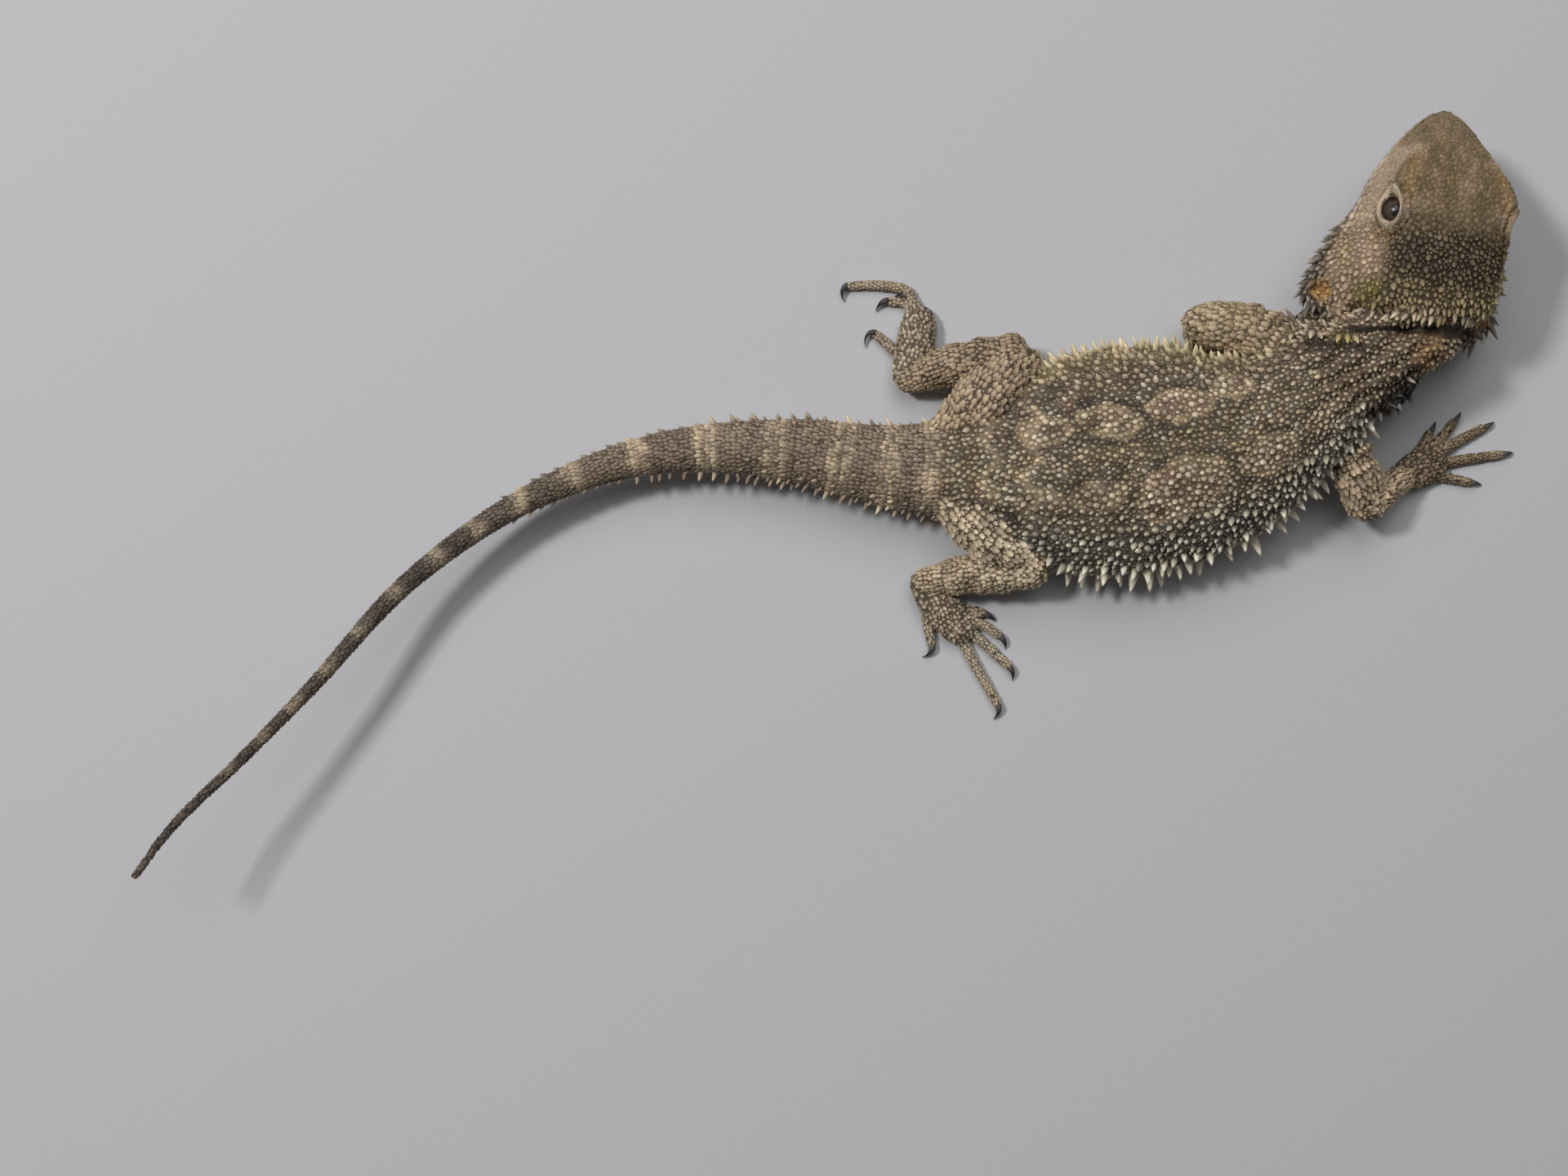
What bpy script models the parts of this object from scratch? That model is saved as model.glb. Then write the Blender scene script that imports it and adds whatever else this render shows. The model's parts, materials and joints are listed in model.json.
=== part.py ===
"""Central bearded dragon: a still, life-size model of the whole animal, in one pose.

The body is divided by thin cuts where a person would name its parts. Sizes are in millimetres, and
each mesh is scaled to metres as it is made. X runs from the tail towards the head, Y to the animal's
left and Z up, with the floor at Z = 0. The last step moves the whole animal so that the origin lies
on the floor under the middle of its bounding box.
"""
import math
import random

import bmesh
import bpy
import numpy as np
from mathutils import Matrix, Quaternion, Vector, geometry
from mathutils.bvhtree import BVHTree

MM = 0.001
GAP = 0.3
SECTION_POWER = 2.2
UP = Vector((0, 0, 1))
# Half the step along the body's axis that gives the way ahead at a place.
AXIS_STEP = 0.5

# The body axis from the tail tip to the shoulders:
# x, y, height of the widest line, half width, rise to the back, drop to the belly.
TAIL_STATIONS = (
    (-182.4, -81.2, 36.0, 1.1, 1.1, 1.1),
    (-174.8, -70.2, 34.0, 1.4, 1.4, 1.4),
    (-152.5, -46.8, 28.2, 1.9, 1.9, 1.9),
    (-136.9, -30.1, 24.5, 2.3, 2.3, 2.3),
    (-107.6, 2.8, 18.0, 3.1, 3.0, 3.0),
    (-74.6, 26.0, 13.5, 4.1, 3.8, 3.8),
    (-38.3, 39.2, 11.6, 6.0, 5.4, 5.2),
    (0.0, 40.4, 11.5, 9.3, 7.8, 7.6),
    (35.8, 35.1, 11.5, 13.0, 9.8, 9.6),
)
TRUNK_STATIONS = (
    (45.5, 34.6, 11.7, 14.6, 11.2, 11.0),
    (57.2, 34.8, 12.0, 19.0, 13.5, 12.8),
    (81.0, 35.5, 12.5, 30.4, 18.0, 15.2),
    (104.8, 38.1, 13.0, 32.8, 20.0, 15.8),
    (127.4, 41.8, 14.5, 28.0, 20.0, 15.8),
    (144.0, 50.0, 17.0, 21.6, 19.0, 14.0),
    (156.8, 62.4, 21.5, 18.2, 17.0, 13.0),
)
BODY_STATIONS = TAIL_STATIONS + TRUNK_STATIONS

# The head in its own frame: u runs back from the snout tip, heights are from the mouth line.
# u, half width at the lip, half width at the brow, height of the brow, height of the crown.
CROWN_STATIONS = (
    (0.0, 1.8, 1.3, 2.6, 3.2),
    (1.2, 4.2, 3.2, 4.4, 5.2),
    (4.0, 7.4, 5.8, 6.6, 7.8),
    (9.0, 11.6, 9.2, 9.0, 10.6),
    (15.0, 15.6, 13.6, 11.8, 13.4),
    (21.0, 18.8, 17.6, 14.2, 15.8),
    (28.0, 20.8, 19.2, 15.6, 17.2),
    (36.0, 23.0, 18.0, 14.8, 17.4),
    (44.0, 24.6, 18.8, 13.4, 16.6),
    (51.0, 23.8, 19.4, 11.8, 15.2),
    (57.0, 20.6, 17.0, 10.4, 14.0),
)
# u, half width of the jaw at the lip, drop of the chin or beard below the mouth line.
JAW_STATIONS = (
    (0.0, 1.6, 1.6),
    (1.2, 3.9, 3.0),
    (4.0, 7.0, 4.6),
    (9.0, 11.2, 6.2),
    (15.0, 15.2, 7.4),
    (21.0, 18.4, 8.6),
    (28.0, 20.8, 10.4),
    (36.0, 24.0, 13.0),
    (44.0, 27.4, 15.2),
    (51.0, 29.4, 16.0),
    (57.0, 29.6, 15.4),
    (63.5, 22.0, 10.5),
)
# Points of the crown from the midline to the brow: the share of the brow's half width, and the
# share of the fall from crown to brow.
CROWN_CURVE = ((0.45, 0.15), (0.82, 0.50))
# Points of the cheek from brow to lip: the share of the way out to the lip, and of the brow's height.
CHEEK_CURVE = ((0.0, 1.0), (0.10, 0.72), (0.60, 0.42))
# Points round the underside of the jaw: the share of its half width, and of its drop.
JAW_CURVE = ((0.94, 0.55), (0.74, 0.82), (0.40, 0.97))
HEAD_RINGS = (0.0, 1.2, 4.0, 8.0, 12.0, 16.5, 21.0, 26.0, 31.0, 36.0, 41.0, 46.0, 51.0, 57.0)
BEARD_RINGS = (31.3, 36.0, 41.0, 46.0, 51.0, 57.0, 61.0, 63.5)
HEAD_LENGTH = 57.0
LIP_BULGE = 1.5
LIP_TUCK = 0.5
BEARD_START = 31.0
BEARD_SAG = 2.2
BEARD_SHOULDER = 0.36
HEAD_BASE = Vector((179.7, 78.7, 26.0))
HEAD_YAW = math.radians(81.6)
HEAD_PITCH = math.radians(1.0)
HEAD_ROLL = math.radians(12.0)
NECK_AT_HEAD = (18.6, 13.4, 12.6)
NECK_WAIST = 0.16
NECK_RINGS = 6
NECK_SIDES = 20

# The throat pouch that hangs to the right below the neck, in the drawing's own frame.
POUCH_POINTS = ((187.0, 77.0, 14.5), (180.5, 67.0, 13.0), (175.0, 57.5, 12.0))
POUCH_RADII = (7.0, 7.6, 6.6)
POUCH_SIDES = 12

EYE_RADIUS = 4.4
EYE_SIDES = (12, 8)
EYE_PLACE = (32.0, 14.8, 9.4)
EYE_TILT = math.radians(38.0)
EYE_SLIT = (3.8, 2.8)
EYE_SLIT_SIDES = 10
# The slit's depth as a share of the eye's radius, and its size there.
EYE_SLIT_DEPTHS = ((0.3, 0.4), (2.0, 1.6))
LID_THICKNESS = 0.9
# Length, depth and height of each pit, from its middle.
NOSTRIL_PLACE = (6.6, 8.5, 4.6)
NOSTRIL_SIZE = (1.3, 1.0, 1.5)
EAR_PLACE = (55.0, 25.0, -2.2)
EAR_SIZE = (2.0, 2.4, 2.0)
PIT_SIDES = (8, 5)

LIMB_SIDES = 12
LIMB_SPACING = 6.0
LIMB_END = (math.radians(35), math.radians(65), math.radians(84))
TOE_END = (math.radians(45), math.radians(80))
# Joints of each limb and the radii there. The first point lies inside the trunk.
RIGHT_ARM_RADII = (8.0, 7.0, 6.4)
LEFT_ARM_RADII = (8.6, 7.8, 6.8)
FOREARM_RADII = (6.0, 5.4, 3.8)
THIGH_RADII = (8.6, 10.2, 7.6)
SHIN_RADII = (6.6, 6.3, 4.2)
LIMBS = {
    "upper_arm_right": (((155.0, 50.0, 17.0), (164.6, 36.0, 17.0), (170.0, 25.8, 13.0)), RIGHT_ARM_RADII),
    "forearm_right": (((169.8, 25.4, 12.6), (176.0, 28.4, 9.0), (183.0, 32.2, 5.6)), FOREARM_RADII),
    "upper_arm_left": (((148.0, 62.0, 21.0), (135.0, 74.0, 20.0), (122.6, 76.4, 15.5)), LEFT_ARM_RADII),
    "forearm_left": (((123.0, 76.0, 9.6), (135.0, 76.4, 7.4), (149.4, 76.8, 5.2)), FOREARM_RADII),
    "thigh_right": (((50.0, 27.0, 13.0), (60.5, 17.5, 13.5), (71.4, 9.6, 12.5)), THIGH_RADII),
    "shin_right": (((71.4, 6.4, 11.6), (57.0, 4.4, 9.0), (42.2, 2.2, 5.6)), SHIN_RADII),
    "thigh_left": (((50.0, 44.0, 13.0), (59.4, 54.6, 15.0), (67.2, 64.4, 14.0)), THIGH_RADII),
    "shin_left": (((66.0, 67.4, 13.6), (51.0, 65.6, 10.4), (37.0, 61.6, 6.4)), SHIN_RADII),
}

# Each hand or foot: the points along its palm with half width and half height, then its toes.
# A toe is a list of x, y points from inside the palm to the base of the claw.
PALM_SIDES = 10
PALM_SPACING = 4.0
TOE_RADIUS = 1.9
TOE_TIP_RADIUS = 1.3
TOE_LIFT = 0.75
TOE_SIDES = 6
TOE_SPACING = 5.0
CLAW_LENGTH = 3.6
CLAW_RADIUS = 0.95
CLAW_ARCH = 0.5
CLAW_SIDES = 5
CLAW_STEPS = (0.0, 0.5, 1.0)
CLAW_TAPER = 0.85
# Where the claw starts: height and reach, as shares of the toe tip's radius, and its tip's height.
CLAW_ROOT = (1.1, 0.4)
CLAW_TIP_HEIGHT = 0.6
FEET = {
    "hand_right": {
        "palm": (
            ((182.6, 32.6, 4.6), 4.4, 4.0),
            ((187.0, 34.6, 3.2), 5.6, 3.2),
            ((191.5, 36.8, 2.6), 6.0, 2.6),
        ),
        "toes": (
            ((188.0, 38.6), (190.8, 43.0), (192.4, 46.0)),
            ((191.0, 39.4), (196.0, 44.8), (199.4, 49.2)),
            ((192.5, 38.4), (201.0, 43.8), (208.2, 47.6)),
            ((193.0, 36.6), (203.6, 38.4), (213.4, 39.8)),
            ((191.0, 34.2), (198.0, 32.8), (204.0, 31.6)),
        ),
    },
    "hand_left": {
        "palm": (
            ((149.4, 76.8, 4.6), 4.4, 4.0),
            ((154.4, 77.0, 3.2), 5.6, 3.2),
            ((159.2, 77.4, 2.6), 6.0, 2.6),
        ),
        "toes": (
            ((157.0, 74.2), (160.4, 71.2), (163.2, 69.4)),
            ((159.2, 75.2), (166.0, 73.2), (171.6, 72.2)),
            ((160.2, 77.2), (169.0, 77.8), (176.4, 78.8)),
            ((159.6, 79.2), (167.8, 82.4), (174.8, 85.4)),
            ((157.6, 80.6), (162.0, 84.6), (165.4, 87.4)),
        ),
    },
    "foot_right": {
        "palm": (
            ((41.4, 1.2, 4.8), 4.6, 4.2),
            ((45.4, -4.2, 3.6), 6.0, 3.6),
            ((51.4, -11.4, 2.8), 5.6, 2.8),
        ),
        "toes": (
            ((51.0, -6.6), (55.2, -6.4), (59.0, -7.4)),
            ((52.4, -8.4), (58.8, -10.8), (63.8, -14.0)),
            ((52.6, -10.6), (59.8, -16.8), (66.6, -23.0)),
            ((51.0, -12.0), (56.6, -22.4), (63.4, -34.4)),
            ((42.6, -3.0), (42.6, -10.0), (44.0, -16.6)),
        ),
    },
    "foot_left": {
        "palm": (
            ((36.4, 63.4, 5.4), 4.8, 4.4),
            ((38.6, 70.0, 4.4), 6.0, 4.0),
            ((39.8, 78.4, 3.4), 5.4, 3.4),
        ),
        "toes": (
            ((42.6, 73.0), (44.0, 77.0), (43.6, 80.4)),
            ((40.4, 78.0), (40.2, 83.0), (37.4, 86.0)),
            ((38.6, 79.0), (36.6, 84.6), (31.4, 85.4)),
            ((39.8, 80.0), (36.6, 88.4), (28.4, 90.2), (19.4, 90.0)),
            ((36.6, 66.6), (31.0, 72.4), (27.4, 75.6)),
        ),
    },
}
# Claws whose tips curl to one side, as angles from the toe's own direction.
CLAW_TURN = {"foot_left": (0.6, 0.7, 0.8, 1.3, 1.7), "foot_right": (-0.3, -0.5, -0.5, -0.7, -0.8)}

# Spines: root radius and length in each place.
SPINE_SIDES = 5
SPINE_SINK = 1.3
SPINE_SPREAD = 0.12
STEP_SPREAD = 0.1
FLANK_SPINE = (1.25, 5.6)
UPPER_FLANK_SPINE = (1.15, 3.6)
BACK_SPINE = (1.3, 2.6)
TAIL_EDGE_SPINE = (0.95, 3.0)
TAIL_BACK_SPINE = (0.95, 2.0)
SHOULDER_SPINE = (1.15, 3.8)
NAPE_SPINE = (1.15, 4.0)
JAW_SPINE = (1.05, 4.4)
BEARD_SPINE = (1.0, 3.4)

# Rows of spines along the body: node, angle round the section, spacing, size, lean back.
BODY_SPINE_ROWS = (
    ("torso", -5, 4.8, FLANK_SPINE, 0.05),
    ("torso", 12, 5.6, UPPER_FLANK_SPINE, 0.2),
    ("torso", 30, 8.0, BACK_SPINE, 0.8),
    ("torso", 50, 8.0, BACK_SPINE, 0.8),
    ("torso", 70, 8.0, BACK_SPINE, 0.8),
    ("tail_1", 6, 4.6, TAIL_EDGE_SPINE, 0.6),
    ("tail_1", 35, 7.0, TAIL_BACK_SPINE, 0.9),
    ("tail_1", 68, 7.0, TAIL_BACK_SPINE, 0.9),
    ("tail_2", 8, 5.0, TAIL_EDGE_SPINE, 0.9),
    ("tail_2", 55, 9.0, TAIL_BACK_SPINE, 1.1),
)
# Rows of spines on the head: node, distance back, how far round each way, how many, size.
NAPE_LEAN = 1.2
NAPE_FALL = 0.8
NAPE_BOW = 2.0
JAW_LEAN = 0.7
NAPE_ROWS = (("head", 55.2, 1.0, 13, NAPE_SPINE), ("head", 49.0, 0.8, 9, BEARD_SPINE))
JAW_ROWS = (
    ("head", 3.5, (44.0, 49.0, 54.0), JAW_SPINE),
    ("beard", -3.0, (35.0, 40.0, 45.0, 50.0, 55.0), JAW_SPINE),
    ("beard", -8.0, (33.0, 37.5, 42.0, 46.5, 51.0, 55.5), JAW_SPINE),
    ("beard", -12.5, (35.0, 39.5, 44.0, 48.5, 53.0), BEARD_SPINE),
)
NECK_LEAN = 0.8
NECK_ROWS = ((-8, SHOULDER_SPINE), (22, BEARD_SPINE), (60, BACK_SPINE))
NECK_ROW_COUNT = 7
POUCH_SPINES = 9
POUCH_SPREAD = (0.8, 0.6)
POUCH_LEAN = 0.3
ROW_END = 3.0
ROW_TAPER = 0.25
# Beyond this distance the side of the nearest face says nothing of inside or outside.
FAR_OFF = 12.0
MERGE = 0.001

# Each length of the body: its first and last station, its sides and the spacing of its rings.
BODY_PARTS = (
    ("tail_4", 0, 3, 7, 7.0),
    ("tail_3", 3, 5, 9, 7.0),
    ("tail_2", 5, 7, 12, 7.0),
    ("tail_1", 7, 9, 16, 7.0),
    ("torso", 9, 15, 24, 8.5),
)

# Which nodes each node is cut clear of.
CUT_BY = (
    ("beard", ("neck", "torso")),
    ("upper_arm_right", ("torso", "neck")),
    ("upper_arm_left", ("torso", "neck")),
    ("thigh_right", ("torso", "tail_1")),
    ("thigh_left", ("torso", "tail_1")),
    ("forearm_right", ("upper_arm_right",)),
    ("forearm_left", ("upper_arm_left",)),
    ("shin_right", ("thigh_right",)),
    ("shin_left", ("thigh_left",)),
    ("hand_right", ("forearm_right",)),
    ("hand_left", ("forearm_left",)),
    ("foot_right", ("shin_right",)),
    ("foot_left", ("shin_left",)),
)
NODE_KINDS = {
    "torso": "back_skin",
    "neck": "back_skin",
    "head": "head_skin",
    "lower_jaw": "head_skin",
    "beard": "beard_skin",
    "tail_1": "tail_skin",
    "tail_2": "tail_skin",
    "tail_3": "tail_skin",
    "tail_4": "tail_skin",
    "eye_left": "eye",
    "eye_right": "eye",
}
SHARP_ANGLE = 50
# The nodes that carry spines, each with the seed of its small differences.
SPINY_NODES = (("torso", 1), ("tail_1", 2), ("tail_2", 3), ("head", 4), ("beard", 5), ("neck", 6))

MATERIALS = {
    "back_skin": ((0.30, 0.25, 0.18), 0.75),
    "head_skin": ((0.36, 0.30, 0.21), 0.70),
    "beard_skin": ((0.20, 0.17, 0.13), 0.75),
    "tail_skin": ((0.26, 0.22, 0.17), 0.75),
    "limb_skin": ((0.42, 0.34, 0.22), 0.72),
    "eye": ((0.05, 0.03, 0.02), 0.08),
}


def clear_scene():
    for obj in list(bpy.data.objects):
        bpy.data.objects.remove(obj, do_unlink=True)


def hermite(keys, along, places):
    """Smooth values through the keys, which stand at the lengths in along."""
    keys = np.array(keys, float)
    along = np.array(along, float)
    slopes = np.gradient(keys, along, axis=0)
    values = []
    for place in places:
        first = int(np.clip(np.searchsorted(along, place) - 1, 0, len(along) - 2))
        span = along[first + 1] - along[first]
        t = (place - along[first]) / span
        near = (1 + 2 * t) * (1 - t) ** 2 * keys[first] + t * (1 - t) ** 2 * span * slopes[first]
        far = t * t * (3 - 2 * t) * keys[first + 1] + t * t * (t - 1) * span * slopes[first + 1]
        values.append(near + far)
    return np.array(values)


def lengths_along(stations):
    points = np.array([station[:3] for station in stations], float)
    steps = np.linalg.norm(np.diff(points, axis=0), axis=1)
    return np.concatenate([[0.0], np.cumsum(steps)])


def superellipse(width, rise, drop, sides, power=SECTION_POWER):
    """Offsets across and up from the centre of one body section."""
    offsets = []
    for step in range(sides):
        angle = math.tau * step / sides
        across = math.copysign(abs(math.cos(angle)) ** (2 / power), math.cos(angle))
        height = math.copysign(abs(math.sin(angle)) ** (2 / power), math.sin(angle))
        offsets.append((width * across, (rise if height > 0 else drop) * height))
    return offsets


def add_loft(bm, sections):
    """Bridge a row of closed sections and cap both ends."""
    rings = []
    for section in sections:
        verts = [bm.verts.new(point) for point in section]
        edges = [bm.edges.new((verts[i - 1], verts[i])) for i in range(len(verts))]
        rings.append((verts, edges))
    for near, far in zip(rings, rings[1:]):
        bmesh.ops.bridge_loops(bm, edges=near[1] + far[1])
    bm.faces.new(rings[0][0])
    bm.faces.new(rings[-1][0])
    bmesh.ops.recalc_face_normals(bm, faces=bm.faces)


def to_object(bm, name):
    """Write a bmesh in millimetres to a new object in metres."""
    bmesh.ops.scale(bm, vec=(MM, MM, MM), verts=bm.verts)
    mesh = bpy.data.meshes.new(name)
    bm.to_mesh(mesh)
    bm.free()
    obj = bpy.data.objects.new(name, mesh)
    bpy.context.scene.collection.objects.link(obj)
    return obj


def keep_largest(obj):
    """Keep only the largest closed surface of the object."""
    bm = bmesh.new()
    bm.from_mesh(obj.data)
    waiting = set(bm.faces)
    pieces = []
    while waiting:
        piece = {waiting.pop()}
        edge_of_search = list(piece)
        while edge_of_search:
            for edge in edge_of_search.pop().edges:
                fresh = [face for face in edge.link_faces if face in waiting]
                waiting.difference_update(fresh)
                piece.update(fresh)
                edge_of_search.extend(fresh)
        pieces.append(piece)
    pieces.sort(key=lambda piece: sum(face.calc_area() for face in piece))
    extra = [face for piece in pieces[:-1] for face in piece]
    bmesh.ops.delete(bm, geom=extra, context="FACES")
    loose = [vert for vert in bm.verts if not vert.link_faces]
    bmesh.ops.delete(bm, geom=loose, context="VERTS")
    bm.to_mesh(obj.data)
    bm.free()


def boolean(obj, operation, helpers, solver="EXACT"):
    """Apply one Boolean between the object and all its helpers, then remove the helpers."""
    group = bpy.data.collections.new("helpers")
    for helper in helpers:
        group.objects.link(helper)
    modifier = obj.modifiers.new("boolean", "BOOLEAN")
    modifier.operation = operation
    modifier.operand_type = "COLLECTION"
    modifier.collection = group
    modifier.solver = solver
    graph = bpy.context.evaluated_depsgraph_get()
    mesh = bpy.data.meshes.new_from_object(obj.evaluated_get(graph))
    obj.modifiers.clear()
    obj.data = mesh
    for helper in helpers:
        bpy.data.objects.remove(helper, do_unlink=True)
    bpy.data.collections.remove(group)
    keep_largest(obj)


def swollen(obj, by=GAP):
    """A copy of the object, larger by the gap on every side."""
    bm = bmesh.new()
    bm.from_mesh(obj.data)
    bm.normal_update()
    moves = [vert.normal.copy() for vert in bm.verts]
    for vert, move in zip(bm.verts, moves):
        vert.co += move * by * MM
    mesh = bpy.data.meshes.new("swollen")
    bm.to_mesh(mesh)
    bm.free()
    copy = bpy.data.objects.new("swollen", mesh)
    bpy.context.scene.collection.objects.link(copy)
    return copy


def surface_of(obj):
    """A tree that finds the nearest point on the object, in millimetres."""
    bm = bmesh.new()
    bm.from_mesh(obj.data)
    bmesh.ops.scale(bm, vec=(1 / MM, 1 / MM, 1 / MM), verts=bm.verts)
    tree = BVHTree.FromBMesh(bm)
    bm.free()
    return tree


def is_clear(point, room, trees):
    """True where the point is outside every tree's surface by at least the room."""
    for tree in trees:
        near, normal, _, distance = tree.find_nearest(point)
        inside = (point - near).dot(normal) < 0 and distance < FAR_OFF
        if distance < room or inside:
            return False
    return True


class Spines:
    """Five-sided cones set on one surface, made as one mesh and joined to it in one union."""

    def __init__(self, obj, blockers, seed):
        self.obj = obj
        self.tree = surface_of(obj)
        self.blockers = [surface_of(blocker) for blocker in blockers]
        self.bm = bmesh.new()
        self.draw = random.Random(seed)
        self.roots = []

    def add(self, place, size, lean):
        """One spine at the surface point nearest to the place, leaning the given way."""
        root, normal, _, _ = self.tree.find_nearest(Vector(place))
        radius = size[0] * self.draw.uniform(1 - SPINE_SPREAD, 1 + SPINE_SPREAD)
        length = size[1] * self.draw.uniform(1 - SPINE_SPREAD, 1 + SPINE_SPREAD)
        axis = (normal + Vector(lean)).normalized()
        tip = root + axis * length
        if any((root - other).length < radius + reach + GAP for other, reach in self.roots):
            return
        if tip.z < 2 * GAP or root.z < radius + GAP:
            return
        if not all(is_clear(p, radius + GAP, self.blockers) for p in (root, root.lerp(tip, 0.5))):
            return
        if not is_clear(tip, 2 * GAP, self.blockers):
            return
        self.roots.append((root, radius))
        turn = axis.to_track_quat("Z", "Y").to_matrix().to_4x4()
        centre = root + axis * (length - SPINE_SINK) / 2
        bmesh.ops.create_cone(
            self.bm,
            cap_ends=True,
            segments=SPINE_SIDES,
            radius1=radius,
            radius2=0.0,
            depth=length + SPINE_SINK,
            matrix=Matrix.Translation(centre) @ turn,
        )

    def join(self):
        bmesh.ops.remove_doubles(self.bm, verts=self.bm.verts, dist=MERGE)
        boolean(self.obj, "UNION", [to_object(self.bm, "spines")])


BODY_LENGTHS = lengths_along(BODY_STATIONS)
CROWN_LENGTHS = [station[0] for station in CROWN_STATIONS]
JAW_LENGTHS = [station[0] for station in JAW_STATIONS]


def body_section(place, sides):
    """One closed section across the body at a length along its axis, flat where it meets the floor."""
    values = hermite(BODY_STATIONS, BODY_LENGTHS, (place - AXIS_STEP, place, place + AXIS_STEP))
    centre = Vector(values[1][:3])
    ahead = Vector(values[2][:3] - values[0][:3]).normalized()
    left = UP.cross(ahead).normalized()
    up = ahead.cross(left)
    points = []
    for across, height in superellipse(*values[1][3:6], sides):
        point = centre + left * across + up * height
        point.z = max(point.z, 0.0)
        points.append(point)
    return points


def make_body_length(name, start, end, sides, spacing):
    """A length of tail or trunk between two places on the body axis."""
    count = max(3, round((end - start) / spacing) + 1)
    bm = bmesh.new()
    add_loft(bm, [body_section(place, sides) for place in np.linspace(start, end, count)])
    return to_object(bm, name)


def head_frame():
    """The matrix that takes the head's own frame, x forward from the nape, to the drawing frame."""
    turn = Matrix.Rotation(HEAD_YAW, 4, "Z") @ Matrix.Rotation(-HEAD_PITCH, 4, "Y")
    return Matrix.Translation(HEAD_BASE) @ turn @ Matrix.Rotation(HEAD_ROLL, 4, "X")


HEAD_FRAME = head_frame()


def in_head(u, left, height):
    """A point given back from the snout tip, to the left and up from the mouth line."""
    return HEAD_FRAME @ Vector((HEAD_LENGTH - u, left, height))


def crown_section(u):
    """The upper half of the head: crown, brow, cheek and upper lip, flat along the mouth."""
    lip, brow, brow_height, crown = hermite(CROWN_STATIONS, CROWN_LENGTHS, (u,))[0][1:]
    half = [(across * brow, crown - fall * (crown - brow_height)) for across, fall in CROWN_CURVE]
    half += [(brow + out * (lip - brow), height * brow_height) for out, height in CHEEK_CURVE]
    half += [(lip, LIP_BULGE), (lip - LIP_TUCK, GAP / 2)]
    left = [in_head(u, across, height) for across, height in half]
    right = [in_head(u, -across, height) for across, height in half]
    return [in_head(u, 0, crown)] + left + right[::-1]


def beard_part(u):
    """How far a distance back is from the jaw, 0, into the full beard, 1."""
    return min(1.0, max(0.0, (u - BEARD_START) / (HEAD_LENGTH - BEARD_START)))


def jaw_section(u):
    """The lower half of the head: lower lip, chin and beard, flat only where it meets the crown."""
    width, drop = hermite(JAW_STATIONS, JAW_LENGTHS, (u,))[0][1:]
    lip = hermite(CROWN_STATIONS, CROWN_LENGTHS, (min(u, HEAD_LENGTH),))[0][1]
    full = beard_part(u)
    sag = BEARD_SAG * full
    shoulder = LIP_BULGE + (BEARD_SHOULDER * drop - LIP_BULGE) * full
    half = [(min(width, lip) - LIP_TUCK, -GAP / 2), (width, -shoulder)]
    half += [(out * width, -down * drop) for out, down in JAW_CURVE]
    left = [in_head(u, sag + across, height) for across, height in half]
    right = [in_head(u, sag - across, height) for across, height in half]
    return left + [in_head(u, sag, -drop)] + right[::-1]


def make_eye(name, side):
    u, left, height = EYE_PLACE
    bm = bmesh.new()
    add_ball(bm, Matrix.Translation(in_head(u, left * side, height)), EYE_RADIUS)
    return to_object(bm, name)


def add_ball(bm, place, radius):
    sides, rings = EYE_SIDES
    bmesh.ops.create_uvsphere(bm, u_segments=sides, v_segments=rings, radius=radius, matrix=place)


def lid_mound(side):
    """The swelling of both lids round one eye."""
    u, left, height = EYE_PLACE
    bm = bmesh.new()
    place = Matrix.Translation(in_head(u, left * side, height))
    add_ball(bm, place, EYE_RADIUS + GAP + LID_THICKNESS)
    return to_object(bm, "lids")


def eye_cutters(side):
    """The socket that the eye fills, and the almond slit between the lids."""
    u, left, height = EYE_PLACE
    socket = bmesh.new()
    add_ball(socket, Matrix.Translation(in_head(u, left * side, height)), EYE_RADIUS + GAP)
    slit = bmesh.new()
    half_length, half_height = EYE_SLIT
    rim = []
    for step in range(EYE_SLIT_SIDES):
        angle = math.tau * step / EYE_SLIT_SIDES
        rim.append((half_length * math.cos(angle), half_height * math.sin(angle)))
    sections = []
    for depth, size in EYE_SLIT_DEPTHS:
        out = depth * EYE_RADIUS
        section = []
        for x, z in rim:
            across = left + out * math.cos(EYE_TILT) - z * size * math.sin(EYE_TILT)
            up = height + out * math.sin(EYE_TILT) + z * size * math.cos(EYE_TILT)
            section.append(in_head(u - x * size, across * side, up))
        sections.append(section)
    add_loft(slit, sections)
    return [to_object(socket, "socket"), to_object(slit, "slit")]


def pit(place, side, size, sag=0.0):
    """An oval cutter for a nostril or an ear, with its length, height and depth."""
    u, left, height = place
    turn = HEAD_FRAME.to_3x3().to_4x4()
    shape = Matrix.Diagonal((size[0], size[2], size[1], 1))
    bm = bmesh.new()
    place = Matrix.Translation(in_head(u, sag + left * side, height)) @ turn @ shape
    sides, rings = PIT_SIDES
    bmesh.ops.create_uvsphere(bm, u_segments=sides, v_segments=rings, radius=1.0, matrix=place)
    return to_object(bm, "pit")


def make_head():
    bm = bmesh.new()
    add_loft(bm, [crown_section(u) for u in HEAD_RINGS])
    head = to_object(bm, "head")
    boolean(head, "UNION", [lid_mound(1), lid_mound(-1)])
    cutters = []
    for side in (1, -1):
        cutters += eye_cutters(side)
        cutters.append(pit(NOSTRIL_PLACE, side, NOSTRIL_SIZE))
    boolean(head, "DIFFERENCE", cutters)
    return head


def make_jaw():
    bm = bmesh.new()
    add_loft(bm, [jaw_section(u) for u in HEAD_RINGS if u < BEARD_START] + [jaw_section(BEARD_START)])
    return to_object(bm, "lower_jaw")


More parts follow.
